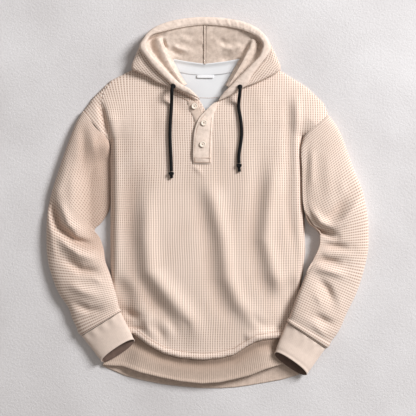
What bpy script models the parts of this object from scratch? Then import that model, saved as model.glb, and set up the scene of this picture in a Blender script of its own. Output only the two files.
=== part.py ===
"""Waffle-knit henley hoodie, laid flat on its back with the hood open and the cuffs on the hem.

Metres, +Z up.  The surface it lies on is z = 0, the hood points along +Y, and the origin is under
the middle of the garment's box.  Tables are in millimetres.
"""
import math

import bmesh
import bpy
import numpy as np
from mathutils import Vector

MM = 0.001
WALL = 2.0                # waffle cloth
HOOD_WALL = 1.5           # waffle cloth of the hood, where it folds back on itself
RIB_WALL = 1.8            # cuffs, hem band, hood lining and casing
THIN_WALL = 1.2           # white facing and tape
GAP = 0.3                 # between two pieces at a seam
CLEAR = 0.7               # under what rests on a creased piece
BACK_TOP = WALL + GAP     # lowest point of what lies on the back panel
FRONT_BASE = BACK_TOP + WALL + 0.1   # the front's outer face where it lies flat on the back
ROLL_DEPTH = 60.0         # how far in from an edge the front reaches its full lift

# The front panel's outline: each shoulder from the neck, the drop armhole seam, the side down to the band.
SHOULDER_LEFT = ((-100, 314), (-168, 293), (-214, 270), (-252, 233), (-274, 203))
SHOULDER_RIGHT = ((95, 312), (162, 292), (219, 257), (258, 220), (268, 194))
ARMHOLE_LEFT = ((-274, 203), (-216, 135))
ARMHOLE_RIGHT = ((268, 194), (210, 145))
SIDE_LEFT = ((-216, 135), (-214, 60), (-214, -180), (-212, -292))
SIDE_RIGHT = ((210, 145), (213, 40), (217, -110), (203, -220), (197, -300))
NECKLINE = ((-100, 314), (-76, 262), (-58, 251), (-36, 240), (-17, 226), (-3, 201), (13, 217), (24, 224),
            (50, 242), (71, 257), (95, 312))
HEM_SEAM = ((-212, -292), (-163, -290), (-129, -314), (-96, -332), (-58, -342), (-12, -346),
            (27, -343), (59, -335), (85, -318), (110, -304), (162, -299), (197, -300))
BACK_NECK = ((-100, 314), (-83, 316), (-45, 309), (-6, 303), (39, 309), (81, 316), (95, 312))
BACK_HEM_SEAM = ((-212, -292), (-163, -322), (-96, -338), (-12, -346), (85, -338), (162, -320), (197, -300))

# Lift of the front over its own edge, from the neck down to the hem.
FRONT_LIFT = (          # y, lift
    (330, 8), (270, 9.5), (235, 13), (180, 21), (60, 25), (-160, 25), (-260, 20), (-346, 13), (-400, 12))

# What lies on the front presses it down.
PRESSED = (             # x, y, reach, keep
    (-205, -215, 46, 0.36),
    (-196, -285, 56, 0.22),
    (-214, -345, 50, 0.30),
    (196, -215, 46, 0.36),
    (186, -290, 60, 0.22),
    (196, -350, 56, 0.30),
)

# Creases of the front: a crest or trough line, its half width and its height.
FRONT_FOLDS = (         # line, half_width, height
    (((-144, 77), (-152, -71), (-155, -143), (-145, -185), (-108, -212), (-72, -249), (-39, -293)), 17, -7),
    (((-108, -165), (-72, -194), (-45, -229), (-17, -275), (2, -322)), 17, 7),
    (((2, 55), (8, -16), (21, -71), (28, -179), (57, -229), (83, -251)), 16, -5),
    (((43, -174), (65, -203), (85, -229), (107, -260), (129, -280)), 15, 6),
    (((129, 77), (127, 4), (117, -88), (136, -165), (162, -220)), 15, -6),
    (((169, 8), (178, -51), (184, -126)), 10, -4),
    (((-150, -262), (-120, -300), (-58, -326), (-12, -330), (59, -320), (100, -286)), 12, 4),
)

SLEEVE_LEFT = (         # outer_x, outer_y, inner_x, inner_y, height, inner_base
    (-274.8, 202.3, -218.2, 136.0, 23, 0),
    (-291, 174, -218.5, 108, 27, 0),
    (-310, 125, -218.5, 70, 30, 0),
    (-330, 66, -219, 28, 31, 0),
    (-346, 14, -220, -10, 30, 0),
    (-353, -22, -234, -42, 29, 0),
    (-355, -55, -249, -60, 28, 0),
    (-355, -85, -237, -78, 29, 0),
    (-353, -118, -228, -105, 30, 0),
    (-345, -155, -224, -130, 30, 2),
    (-329, -197, -213, -158, 29, 9),
    (-306, -232, -203, -190, 29, 13),
    (-297, -258, -196, -216, 28, 13),
    (-278, -293, -192, -239, 25, 13),
)
SLEEVE_RIGHT = (        # outer_x, outer_y, inner_x, inner_y, height, inner_base
    (268.7, 193.2, 212.4, 145.6, 23, 0),
    (290, 163, 214, 112, 27, 0),
    (308, 118, 216.5, 72, 30, 0),
    (326, 68, 217, 28, 31, 0),
    (342, 30, 219, -5, 30, 0),
    (353, -22, 228, -43, 29, 0),
    (356, -58, 248, -66, 28, 0),
    (356, -90, 247, -93, 29, 0),
    (352, -122, 234, -123, 30, 0),
    (340, -168, 220, -148, 30, 3),
    (326, -207, 208, -178, 29, 10),
    (308, -243, 194, -212, 30, 14),
    (290, -283, 183, -243, 31, 14),
    (262, -321, 176, -262, 25, 14),
)
SLEEVE_FOLDS_LEFT = (   # line, half_width, height
    (((-333, -5), (-323, -44), (-300, -62), (-271, -77)), 11, -7),
    (((-335, -64), (-306, -91), (-271, -113), (-228, -146)), 12, 6),
    (((-289, -121), (-247, -141), (-227, -150)), 10, -6),
    (((-290, -225), (-262, -220), (-238, -223)), 11, -6),
    (((-250, 150), (-262, 90), (-285, 20)), 14, -4),
)
SLEEVE_FOLDS_RIGHT = (  # line, half_width, height
    (((330, -10), (300, -42), (274, -64), (250, -80)), 10, -7),
    (((330, -60), (290, -92), (255, -108)), 12, 5),
    (((239, -118), (270, -128), (300, -130)), 10, -6),
    (((225, -145), (262, -158), (305, -165)), 11, 5),
    (((215, -236), (240, -250), (268, -262)), 10, -5),
    (((262, 120), (280, 60), (300, 10)), 14, -4),
)

CUFF_LEFT = (           # outer_x, outer_y, inner_x, inner_y, height, outer_base, inner_base
    (-277.6, -294.0, -191.4, -240.0, 24.2, 0, 13),
    (-255, -321, -175, -271, 20, 5, 13),
    (-233, -350, -160, -301, 19, 9, 13),
)
CUFF_RIGHT = (          # outer_x, outer_y, inner_x, inner_y, height, outer_base, inner_base
    (261.3, -321.9, 175.5, -263.0, 24.2, 0, 14),
    (240, -350, 160, -298, 20, 5, 14),
    (219, -379, 148, -329, 20, 9, 14),
)
MOUTH_BOW = 9.0         # how far each lip of a cuff's mouth bows from the straight line

HEM_FRONT_EDGE = ((-231, -359), (-188, -361), (-146, -374), (-104, -384), (-60, -393), (-12, -398),
                  (30, -395), (62, -388), (94, -380), (129, -366), (166, -356), (203, -377))
HEM_BACK_EDGE = ((-232, -361), (-181, -383), (-140, -393), (-100, -401), (-58, -406), (-12, -410),
                 (30, -410), (62, -408), (92, -404), (127, -398), (166, -391), (204, -380))

# The hood's outer shell, from the casing seam over the rolled side to the back-neck seam.
HOOD_LEFT = (           # seam_x, seam_y, fold_x, fold_y, neck_x, neck_y, seam_z, fold_z, under_z, neck_z
    (-72, 250, -84, 255, -77, 259, 24, 20.4, 17.4, 17),
    (-95, 270, -110, 264, -97, 272, 26, 20.4, 16.2, 16.5),
    (-108, 281, -128, 276, -108, 285, 27, 21, 15, 15.5),
    (-120, 294, -150, 286, -116, 296, 28, 20, 14.5, 15),
    (-128, 304, -166, 294, -118, 306, 28, 18, 12, 12.5),
    (-136, 315, -167, 304, -110.5, 312.6, 28, 16, 6, 6),
    (-143, 328, -160, 321, -99, 314.7, 28, 14, 2, 0),
    (-146, 341, -151, 341, -93, 315.3, 28, 15, 2, 0),
    (-137, 355, -142, 356, -82, 316.4, 28, 15, 2, 0),
    (-126, 371, -131, 375, -66, 313.3, 28, 15, 2, 0),
    (-107, 384, -111, 389, -50, 310.4, 28, 15, 2, 0),
    (-75, 395, -77, 400, -34, 307.8, 27, 14, 2, 0),
    (-40, 401, -40, 407, -20, 305.6, 26, 13, 2, 0),
    (-6.2, 403, -6.2, 409, -6.2, 303.5, 26, 13, 2, 0),
)
HOOD_RIGHT = (          # seam_x, seam_y, fold_x, fold_y, neck_x, neck_y, seam_z, fold_z, under_z, neck_z
    (66, 247, 80, 254, 72, 258, 24, 21, 17.4, 17),
    (86, 262, 104, 262, 92, 270, 26, 21, 16.2, 16.5),
    (102, 278, 124, 271, 104, 281, 27, 21, 15, 15.5),
    (112, 292, 144, 281, 110, 292, 28, 20, 14.5, 15),
    (121, 303, 161, 292, 112, 304, 28, 18, 12, 12.5),
    (130, 314, 162, 301, 105.5, 311.2, 28, 16, 6, 6),
    (137, 327, 156, 316, 95, 312.7, 28, 14, 2, 0),
    (139, 341, 145, 338, 89, 314.3, 28, 15, 2, 0),
    (131, 354, 136, 356, 80, 316.4, 28, 15, 2, 0),
    (118, 370, 122, 375, 60, 313.0, 28, 15, 2, 0),
    (99, 384, 103, 389, 44, 310.4, 28, 15, 2, 0),
    (69, 395, 70, 401, 26, 307.8, 27, 14, 2, 0),
    (32, 401, 32, 407, 8, 305.4, 26, 13, 2, 0),
    (-5.8, 403, -5.8, 409, -5.8, 303.5, 26, 13, 2, 0),
)
# The casing round the opening: the free inner edge, the outer seam and the crown's height.
CASING = (              # in_x, in_y, out_x, out_y, base, crown
    (-14, 231, -19, 224, 22, 27),
    (-35, 248, -37, 234, 23, 29),
    (-63, 265, -68, 248, 25, 32),
    (-85, 289, -98, 268, 28, 35),
    (-104, 308, -123, 293, 30, 38),
    (-121, 324, -139, 315, 31, 39),
    (-132, 341, -149, 340, 31, 39),
    (-129, 358, -142, 357, 31, 38),
    (-118, 368, -129, 374, 31, 37),
    (-92, 375, -108, 388, 31, 37),
    (-66, 381, -76, 399, 30, 37),
    (-36, 386, -40, 405, 29, 36),
    (-6, 389, -6, 407, 29, 36),
    (34, 386, 32, 405, 29, 36),
    (68, 380, 70, 399, 30, 37),
    (94, 371, 101, 387, 31, 37),
    (112, 360, 121, 373, 31, 37),
    (121, 346, 134, 356, 31, 38),
    (118, 333, 142, 341, 31, 39),
    (110, 319, 139, 326, 31, 39),
    (97, 307, 123, 302, 30, 38),
    (82, 291, 105, 276, 28, 36),
    (62, 269, 87, 259, 26, 34),
    (41, 247, 62, 241, 24, 31),
    (20, 230, 31, 221, 22, 28),
)
# The lining, from the casing over the standing side pleat to the neck tape.
LINING_LEFT = (  # edge_x, edge_y, crest_x, crest_y, foot_x, foot_y, edge_z, valley_z, crest_z, slope_z
    (-54, 254, -50, 258, -44, 262, 21, 20, 20, 17),
    (-68, 265, -60, 271, -53, 274, 23, 21, 23, 16),
    (-89, 286, -73, 291, -64, 294, 26, 21, 26, 14),
    (-109, 306, -86, 314, -75, 316, 28, 20, 28, 13),
    (-125, 322, -93, 332, -68, 315, 29, 18, 30, 14),
    (-136, 341, -100, 350, -60, 314, 29, 15, 31, 16),
    (-132, 359, -104, 362, -52, 312, 29, 15, 29, 17),
    (-94, 377, -84, 361, -42, 310.5, 28, 24, 20, 15),
    (-67, 383, -58, 360, -32, 308.8, 27, 23, 19, 13),
    (-37, 389, -32, 358, -20, 307, 27, 22, 17, 12),
    (-9, 392, -9, 356, -9, 305.4, 27, 21, 15, 11),
)
LINING_RIGHT = (  # edge_x, edge_y, crest_x, crest_y, foot_x, foot_y, edge_z, valley_z, crest_z, slope_z
    (50, 250, 45, 255, 39, 260, 21, 20, 20, 17),
    (66, 267, 55, 272, 48, 275, 23, 21, 23, 16),
    (86, 289, 68, 294, 59, 296, 26, 21, 26, 14),
    (101, 305, 81, 318, 70, 317, 28, 20, 28, 13),
    (114, 318, 87, 332, 63, 316, 29, 18, 30, 14),
    (122, 333, 95, 348, 55, 314.5, 29, 15, 31, 16),
    (125, 346, 99, 361, 47, 313, 29, 15, 29, 17),
    (96, 374, 80, 360, 36, 310.8, 28, 24, 20, 15),
    (69, 383, 55, 360, 24, 308.6, 27, 23, 19, 13),
    (35, 389, 26, 358, 11, 306.6, 27, 22, 17, 12),
    (-3, 392, -3, 356, -3, 305.4, 27, 21, 15, 11),
)

LINING_FOOT = 7.5                        # height of the lining over the neck tape
FACING = ((-80, 293), (-60, 248), (-36, 214), (-4, 176), (30, 214), (56, 248), (78, 293), (36, 287),
          (-4, 284), (-44, 287))
TAPE_TOP = ((-88, 317.5), (-45, 309.6), (-6, 304.2), (39, 309.6), (84, 317.5))
TAPE_LOW = ((-80, 292), (-42, 284), (-5, 281), (32, 284), (76, 292))
LABEL = (-23, 15, 276, 282.5)            # left, right, bottom, top
LABEL_THICKNESS = 0.8
UNDER_PLACKET = (       # left_x, right_x, y
    (-27, 4, 92), (-27, 5, 120), (-28, 2, 150), (-28, -4, 172), (-33, -10, 190), (-39, -11, 200),
    (-44, -16, 212), (-46, -24, 223))
TOP_PLACKET = (         # left_x, right_x, y
    (-32, 10, 85), (-32, 10, 110), (-31, 11, 138), (-27, 12, 165), (-17, 14, 188), (-3, 18, 203),
    (8, 22, 214), (15, 23.5, 220))
UNDER_PLACKET_WALL = 1.4
TOP_PLACKET_WALL = 1.8
SLACK = 0.6             # what a smooth strip needs over the creased front
BUTTONS = (             # name, x, y, piece it is sewn to
    ("button_top", -28, 212, "under"), ("button_middle", -7, 175, "top"), ("button_low", -10, 128, "top"))
BUTTON_RADIUS = 6.2
BUTTON_THICKNESS = 2.4
EYELETS = (             # name, x, y, z, and the way its hole faces
    ("eyelet_left", -74.4, 255.4, 32.3, (-0.29, -0.58, 0.76)),
    ("eyelet_right", 71.3, 253.4, 34.1, (0.10, -0.55, 0.83)))
EYELET_RADIUS = 5.0
EYELET_THICKNESS = 0.9

CORD_RADIUS = 3.7
CORD_LEFT = (           # x, y, z from the eyelet to the knot; z 0 lies on the front
    (-74.3, 255.6, 32.0), (-75.4, 253.3, 35.1), (-76.2, 250.8, 37.3), (-76.8, 247.0, 38.6),
    (-77.2, 242.0, 38.2), (-77.6, 236.0, 35.4), (-77.9, 229.0, 30.4), (-78.2, 221.0, 25.6),
    (-78.6, 210, 0), (-80, 190, 0), (-81, 169, 0), (-81.5, 148, 0),
    (-81, 130, 0), (-80, 110, 0), (-79, 90, 0), (-78.5, 69, 0))
CORD_RIGHT = (          # x, y, z from the eyelet to the knot; z 0 lies on the front
    (71.3, 253.6, 33.8), (71.6, 251.8, 36.9), (71.7, 249.0, 39.2), (71.5, 245.0, 40.2),
    (71.1, 240.0, 39.3), (70.5, 234.0, 36.0), (69.7, 227.0, 30.6), (69.0, 219.0, 25.6),
    (68.8, 208, 0), (72, 190, 0), (74.5, 172, 0), (75.5, 152, 0),
    (73.5, 132, 0), (70.5, 114, 0), (69, 100, 0), (69.5, 87, 0))
KNOTS = (               # name, x, y, radius, half length
    ("knot_left", -78.4, 62, 5.2, 6.4), ("knot_right", 70.4, 77, 5.2, 9.2))

COLORS = {              # slot: base colour, roughness
    "waffle": ((0.66, 0.51, 0.39), 0.92),
    "jersey": ((0.62, 0.46, 0.35), 0.92),
    "white": ((0.86, 0.87, 0.88), 0.9),
    "cord": ((0.012, 0.012, 0.013), 0.8),
    "button": ((0.88, 0.80, 0.70), 0.45),
    "eyelet": ((0.02, 0.02, 0.022), 0.6),
}


def clear_scene():
    for thing in list(bpy.data.objects):
        bpy.data.objects.remove(thing, do_unlink=True)
    garment = bpy.data.collections.new("waffle_hoodie")
    bpy.context.scene.collection.children.link(garment)
    return garment


def make_material(slot):
    color, roughness = COLORS[slot]
    material = bpy.data.materials.new(slot)
    material.use_nodes = True
    shader = material.node_tree.nodes["Principled BSDF"]
    shader.inputs["Base Color"].default_value = (*color, 1.0)
    shader.inputs["Roughness"].default_value = roughness
    material.diffuse_color = (*color, 1.0)
    return material


def lerp(a, b, t):
    return a + (b - a) * t


def along(points, count, bunch=0.0):
    """count points at even lengths along a polyline; bunch > 0 crowds them to its ends."""
    line = np.array(points, dtype=float)
    steps = np.concatenate([[0.0], np.cumsum(np.linalg.norm(np.diff(line, axis=0), axis=1))])
    t = np.linspace(0.0, 1.0, count)
    t = lerp(t, 0.5 - 0.5 * np.cos(math.pi * t), bunch) * steps[-1]
    return np.stack([np.interp(t, steps, line[:, k]) for k in range(line.shape[1])], axis=1)


def smooth_rows(table, count):
    """A smooth curve through the table's rows, read at count even places."""
    rows = np.array(table, dtype=float)
    last = len(rows) - 1
    out = []
    for place in np.linspace(0.0, last, count):
        i = min(int(place), last - 1)
        t = place - i
        a, b = rows[max(i - 1, 0)], rows[i]
        c, d = rows[i + 1], rows[min(i + 2, last)]
        bend = (2 * a - 5 * b + 4 * c - d) * t ** 2 + (3 * b - a - 3 * c + d) * t ** 3
        out.append(np.clip(b + 0.5 * ((c - a) * t + bend), np.minimum(b, c), np.maximum(b, c)))
    return np.array(out)


def distance(x, y, points):
    """Distance from (x, y) to a polyline."""
    nearest = 1e9
    for (ax, ay), (bx, by) in zip(points, points[1:]):
        ux, uy = bx - ax, by - ay
        t = max(0.0, min(1.0, ((x - ax) * ux + (y - ay) * uy) / (ux * ux + uy * uy)))
        nearest = min(nearest, math.hypot(x - ax - t * ux, y - ay - t * uy))
    return nearest


def folded(x, y, folds):
    """Height of all the creases together at (x, y)."""
    total = 0.0
    for line, half_width, height in folds:
        total += height * math.exp(-(distance(x, y, line) / half_width) ** 2)
    return total


def roll(inward, depth):
    """0 at a rolled edge, 1 from depth inward, round between."""
    t = min(1.0, max(0.0, inward / depth))
    return math.sqrt(1.0 - (1.0 - t) ** 2)


FRONT_EDGES = (
    SHOULDER_LEFT, SIDE_LEFT + HEM_FRONT_EDGE[:1], SHOULDER_RIGHT, SIDE_RIGHT + HEM_FRONT_EDGE[-1:])


def front_height(x, y):
    """Height of the front's outer face over the surface below."""
    heights = sorted(FRONT_LIFT)
    lift = np.interp(y, [row[0] for row in heights], [row[1] for row in heights])
    inward = min(distance(x, y, edge) for edge in FRONT_EDGES)
    shape = roll(inward, ROLL_DEPTH)
    lift = lift * shape + folded(x, y, FRONT_FOLDS) * shape
    for px, py, reach, keep in PRESSED:
        lift *= 1.0 - (1.0 - keep) * math.exp(-(math.hypot(x - px, y - py) / reach) ** 4)
    return FRONT_BASE + max(lift, 0.0)


def add_object(garment, name, mesh, material, smooth=True):
    thing = bpy.data.objects.new(name, mesh)
    garment.objects.link(thing)
    mesh.materials.clear()
    mesh.materials.append(material)
    if smooth:
        mesh.shade_smooth()
        mesh.set_sharp_from_angle(angle=math.radians(40))
    return thing


def grid_mesh(name, points, closed=False):
    """A sheet whose corners are the rows and columns of points; closed joins its long sides."""
    rows, columns = points.shape[:2]
    shape = bmesh.new()
    bmesh.ops.create_grid(shape, x_segments=columns - 1, y_segments=rows - 1, size=1.0)
    order = sorted(shape.verts, key=lambda vert: (round(vert.co.y, 5), round(vert.co.x, 5)))
    for vert, place in zip(order, points.reshape(-1, 3)):
        vert.co = Vector(place) * MM
    if closed:
        bmesh.ops.remove_doubles(shape, verts=shape.verts, dist=0.00001)
    bmesh.ops.recalc_face_normals(shape, faces=shape.faces)
    mesh = bpy.data.meshes.new(name)
    shape.to_mesh(mesh)
    shape.free()
    return mesh


def wall(garment, name, points, thickness, material, up=True, closed=False):
    """A cloth wall under (or inside) the sheet of points."""
    mesh = grid_mesh(name, points, closed)
    thing = add_object(garment, name, mesh, material)
    if not closed:
        facing = sum(face.normal.z * face.area for face in mesh.polygons)
        if (facing > 0) != up:
            mesh.flip_normals()
    solid = thing.modifiers.new("cloth", "SOLIDIFY")
    solid.thickness = thickness * MM
    solid.offset = -1.0
    solid.use_even_offset = False
    return thing


def flat_panel(garment, name, outline, bottom, thickness, material):
    """A flat cut piece, bottom to bottom + thickness."""
    shape = bmesh.new()
    corners = [shape.verts.new((x * MM, y * MM, bottom * MM)) for x, y in outline]
    face = shape.faces.new(corners)
    face.normal_update()
    if face.normal.z > 0:
        face.normal_flip()
    raised = bmesh.ops.extrude_face_region(shape, geom=[face])["geom"]
    for piece in raised:
        if isinstance(piece, bmesh.types.BMVert):
            piece.co.z += thickness * MM
    bmesh.ops.triangulate(shape, faces=shape.faces)
    bmesh.ops.recalc_face_normals(shape, faces=shape.faces)
    mesh = bpy.data.meshes.new(name)
    shape.to_mesh(mesh)
    shape.free()
    return add_object(garment, name, mesh, material, smooth=False)


ARMHOLE_ROWS = 6


def front_points(rows=27, columns=25):
    top = along(SHOULDER_LEFT[::-1] + NECKLINE[1:-1] + SHOULDER_RIGHT, columns)
    bottom = along(HEM_SEAM, columns, bunch=0.6)
    left, right = (np.concatenate([along(armhole, ARMHOLE_ROWS)[:-1], along(side, rows - ARMHOLE_ROWS + 1)])
                   for armhole, side in ((ARMHOLE_LEFT, SIDE_LEFT), (ARMHOLE_RIGHT, SIDE_RIGHT)))
    spread = lerp(np.linspace(0, 1, columns), 0.5 - 0.5 * np.cos(math.pi * np.linspace(0, 1, columns)), 0.6)
    points = np.zeros((rows, columns, 3))
    for i in range(rows):
        v = i / (rows - 1)
        for j in range(columns):
            u = lerp(j / (columns - 1), spread[j], v)
            flat = lerp(top[j], bottom[j], v) + lerp(left[i], right[i], u)
            flat -= lerp(lerp(top[0], top[-1], u), lerp(bottom[0], bottom[-1], u), v)
            points[i, j] = (*flat, front_height(*flat))
    return points


def make_body(garment, materials):
    wall(garment, "front_panel", front_points(), WALL, materials["waffle"])
    outline = SHOULDER_LEFT[::-1] + BACK_NECK[1:-1] + SHOULDER_RIGHT + SIDE_RIGHT
    outline += tuple(map(tuple, along(BACK_HEM_SEAM, 25, bunch=0.6)[-2:0:-1])) + SIDE_LEFT[::-1]
    flat_panel(garment, "back_panel", outline, 0.0, WALL, materials["waffle"])


def sleeve_ring(outer, inner, outer_base, inner_base, height, around, bow=0.0):
    """A ring of cloth pressed flat below: an ellipse cut off by the surface under it."""
    outer, inner = np.array(outer), np.array(inner)
    middle, half = (outer + inner) / 2, (inner - outer) / 2
    ahead = np.array((half[1], -half[0])) / np.linalg.norm(half)
    ring = []
    for k in range(around):
        turn = 2 * math.pi * k / around
        across = math.copysign(abs(math.cos(turn)) ** 0.86, math.cos(turn))
        rise = math.copysign(abs(math.sin(turn)) ** 0.8, math.sin(turn))
        base = lerp(outer_base, inner_base, (across + 1) / 2)
        flat = middle + half * across - ahead * bow * math.sin(turn)
        ring.append((*flat, base + max(0.0, height * (0.34 + 0.66 * rise))))
    return ring


def sleeve_points(table, folds, rows, around):
    points = []
    for outer_x, outer_y, inner_x, inner_y, height, inner_base in smooth_rows(table, rows):
        ring = sleeve_ring((outer_x, outer_y), (inner_x, inner_y), 0.0, max(inner_base, 0), height, around)
        for k, (x, y, z) in enumerate(ring):
            top = max(0.0, math.sin(2 * math.pi * k / around))
            ring[k] = (x, y, z + folded(x, y, folds) * top)
        points.append(ring + ring[:1])
    return np.array(points)


def cuff_points(table, side, rows=5, around=22):
    points = []
    for i, row in enumerate(smooth_rows(table, rows)):
        outer_x, outer_y, inner_x, inner_y, height, outer_base, inner_base = row
        bow = side * MOUTH_BOW * max(0.0, i / (rows - 1)) ** 1.5
        outer, inner = (outer_x, outer_y), (inner_x, inner_y)
        ring = sleeve_ring(outer, inner, outer_base, inner_base, height, around, bow)
        points.append(ring + ring[:1])
    return np.array(points)


def outward_tube(thing):
    """Turns a tube's faces outward, whichever way its rings run."""
    mesh = thing.data
    middle = sum((vert.co for vert in mesh.vertices), Vector()) / len(mesh.vertices)
    outward = sum(face.normal.dot(face.center - middle) * face.area for face in mesh.polygons)
    if outward < 0:
        mesh.flip_normals()


def make_sleeves(garment, materials):
    for name, table, folds in (("sleeve_left", SLEEVE_LEFT, SLEEVE_FOLDS_LEFT),
                               ("sleeve_right", SLEEVE_RIGHT, SLEEVE_FOLDS_RIGHT)):
        points = sleeve_points(table, folds, rows=22, around=22)
        outward_tube(wall(garment, name, points, WALL, materials["waffle"], closed=True))
    for name, table, side in (("cuff_left", CUFF_LEFT, 1), ("cuff_right", CUFF_RIGHT, -1)):
        points = cuff_points(table, side)
        outward_tube(wall(garment, name, points, RIB_WALL, materials["jersey"], closed=True))


def hem_points(columns=25, rows=5):
    """Rings from the hem seam to the free edge: over the front from left to right, back underneath."""
    seam_gap = np.array((0.0, 3 * GAP))
    front_top, back_top = (along(line, columns, bunch=0.6) - seam_gap for line in (HEM_SEAM, BACK_HEM_SEAM))
    front_edge, back_edge = (along(line, columns, bunch=0.6) for line in (HEM_FRONT_EDGE, HEM_BACK_EDGE))
    points = []
    for t in np.linspace(0.0, 1.0, rows):
        front = [(x, y, front_height(x, y)) for x, y in lerp(front_top, front_edge, t)]
        back = [(x, y, 0.0) for x, y in lerp(back_top, back_edge, t)]
        ring = front + back[::-1]
        points.append(ring + ring[:1])
    return np.array(points)


def make_hem(garment, materials):
    outward_tube(wall(garment, "hem_band", hem_points(), RIB_WALL, materials["jersey"], closed=True))


def hood_points(table, rows):
    points = []
    for line in smooth_rows(table, rows):
        seam, fold, neck = line[0:2], line[2:4], line[4:6]
        seam_z, fold_z, under_z, neck_z = line[6:]
        inward = (neck - fold) / np.linalg.norm(neck - fold)
        row = [(*seam, seam_z - 1.0),
               (*lerp(seam, fold, 0.5), seam_z - 0.6),
               (*(lerp(seam, fold, 0.92)), lerp(seam_z - 0.6, fold_z, 0.35)),
               (*fold, fold_z),
               (*(fold + inward * 0.8), lerp(fold_z, under_z, 0.6)),
               (*(fold + inward * 4.5), under_z),
               (*lerp(fold + inward * 4.5, neck, 0.45), lerp(under_z, neck_z, 0.9)),
               (*neck, neck_z)]
        points.append(row)
    return np.array(points)


def casing_points(rows=50):
    points = []
    for in_x, in_y, out_x, out_y, base, crown in smooth_rows(CASING, rows):
        inner, outer = np.array((in_x, in_y)), np.array((out_x, out_y))
        points.append([(*inner, base),
                       (*lerp(inner, outer, 0.1), lerp(base, crown, 0.62)),
                       (*lerp(inner, outer, 0.42), crown),
                       (*lerp(inner, outer, 0.78), lerp(base, crown, 0.74)),
                       (*outer, base + 1.5)])
    return np.array(points)


def lining_points(table, rows):
    points = []
    for line in smooth_rows(table, rows):
        edge, crest, foot = line[0:2], line[2:4], line[4:6]
        edge_z, valley_z, crest_z, slope_z = line[6:]
        points.append([(*edge, edge_z),
                       (*lerp(edge, crest, 0.3), valley_z),
                       (*lerp(edge, crest, 0.7), lerp(valley_z, crest_z, 0.75)),
                       (*crest, crest_z),
                       (*lerp(crest, foot, 0.25), lerp(crest_z, slope_z, 0.7)),
                       (*lerp(crest, foot, 0.55), slope_z),
                       (*lerp(crest, foot, 0.8), lerp(slope_z, LINING_FOOT, 0.6)),
                       (*foot, LINING_FOOT)])
    return np.array(points)


def make_hood(garment, materials):
    wall(garment, "hood_outer_left", hood_points(HOOD_LEFT, 27), HOOD_WALL, materials["waffle"], up=False)
    wall(garment, "hood_outer_right", hood_points(HOOD_RIGHT, 27), HOOD_WALL, materials["waffle"], up=False)
    wall(garment, "hood_casing", casing_points(), RIB_WALL, materials["jersey"])
    wall(garment, "hood_lining_left", lining_points(LINING_LEFT, 21), RIB_WALL, materials["jersey"])
    wall(garment, "hood_lining_right", lining_points(LINING_RIGHT, 21), RIB_WALL, materials["jersey"])


def make_neck(garment, materials):
    flat_panel(garment, "neck_facing", FACING, BACK_TOP, THIN_WALL, materials["white"])
    tape = np.stack([along(TAPE_TOP, 9), along(TAPE_LOW, 9)])
    tape_top = BACK_TOP + THIN_WALL + GAP + THIN_WALL
    tape = np.concatenate([tape, np.full((2, 9, 1), tape_top)], axis=2)
    wall(garment, "neck_tape", tape, THIN_WALL, materials["white"])
    left, right, low, high = LABEL
    label = ((left, low), (right, low), (right, high), (left, high))
    flat_panel(garment, "neck_label", label, tape_top + GAP, LABEL_THICKNESS, materials["white"])


def strip_points(table, lift, columns=5, rows=12):
    points = []
    for left_x, right_x, y in smooth_rows(table, rows):
        points.append([(x, y, front_height(x, y) + lift) for x in np.linspace(left_x, right_x, columns)])
    return np.array(points)


def make_placket(garment, materials):
    under_lift = GAP + UNDER_PLACKET_WALL + SLACK
    top_lift = under_lift + GAP + TOP_PLACKET_WALL + SLACK
    jersey = materials["jersey"]
    wall(garment, "placket_under", strip_points(UNDER_PLACKET, under_lift), UNDER_PLACKET_WALL, jersey)
    wall(garment, "placket_top", strip_points(TOP_PLACKET, top_lift), TOP_PLACKET_WALL, jersey)
    reach = (-BUTTON_RADIUS, 0, BUTTON_RADIUS)
    around = [(x, y) for x in reach for y in reach]
    for name, x, y, piece in BUTTONS:
        lift = under_lift if piece == "under" else top_lift
        seat = max(front_height(x + dx, y + dy) for dx, dy in around)
        add_button(garment, name, x, y, seat + lift + CLEAR, materials["button"])


def add_button(garment, name, x, y, bottom, material):
    """A turned button: rim, dished face and flat back."""
    radius, thick = BUTTON_RADIUS, BUTTON_THICKNESS
    profile = ((0.0, 0.62 * thick), (0.55 * radius, 0.62 * thick), (0.66 * radius, 0.9 * thick),
               (0.8 * radius, thick), (0.94 * radius, 0.85 * thick), (radius, 0.5 * thick),
               (0.85 * radius, 0.0), (0.0, 0.0))
    shape = bmesh.new()
    ring = [shape.verts.new((r * MM, 0.0, z * MM)) for r, z in profile]
    edges = [shape.edges.new(pair) for pair in zip(ring, ring[1:])]
    bmesh.ops.spin(shape, geom=ring + edges, cent=(0, 0, 0), axis=(0, 0, 1), angle=2 * math.pi, steps=20,
                   use_merge=True, use_duplicate=False)
    bmesh.ops.remove_doubles(shape, verts=shape.verts, dist=0.00001)
    bmesh.ops.recalc_face_normals(shape, faces=shape.faces)
    mesh = bpy.data.meshes.new(name)
    shape.to_mesh(mesh)
    shape.free()
    button = add_object(garment, name, mesh, material)
    button.location = (x * MM, y * MM, bottom * MM)


def on_front(x, y, half_width):
    """Height at which a round thing of that half width rests on the front."""
    return max(front_height(x + side * half_width, y) for side in (-1, 0, 1)) + CLEAR


def cord_route(table, count=28):
    """The cord's centreline, from its eyelet down onto the front and along it."""
    resting = [(x, y, z or on_front(x, y, CORD_RADIUS) + CORD_RADIUS) for x, y, z in table]
    route = smooth_rows(resting, count)
    return [(x, y, max(z, on_front(x, y, CORD_RADIUS) + CORD_RADIUS)) for x, y, z in route]


def adopt(garment, name, material):
    """Takes the primitive just added into the garment."""
    thing = bpy.context.object
    for home in list(thing.users_collection):
        home.objects.unlink(thing)
    garment.objects.link(thing)
    thing.name = thing.data.name = name
    thing.data.materials.append(material)
    thing.data.shade_smooth()
    return thing


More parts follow.
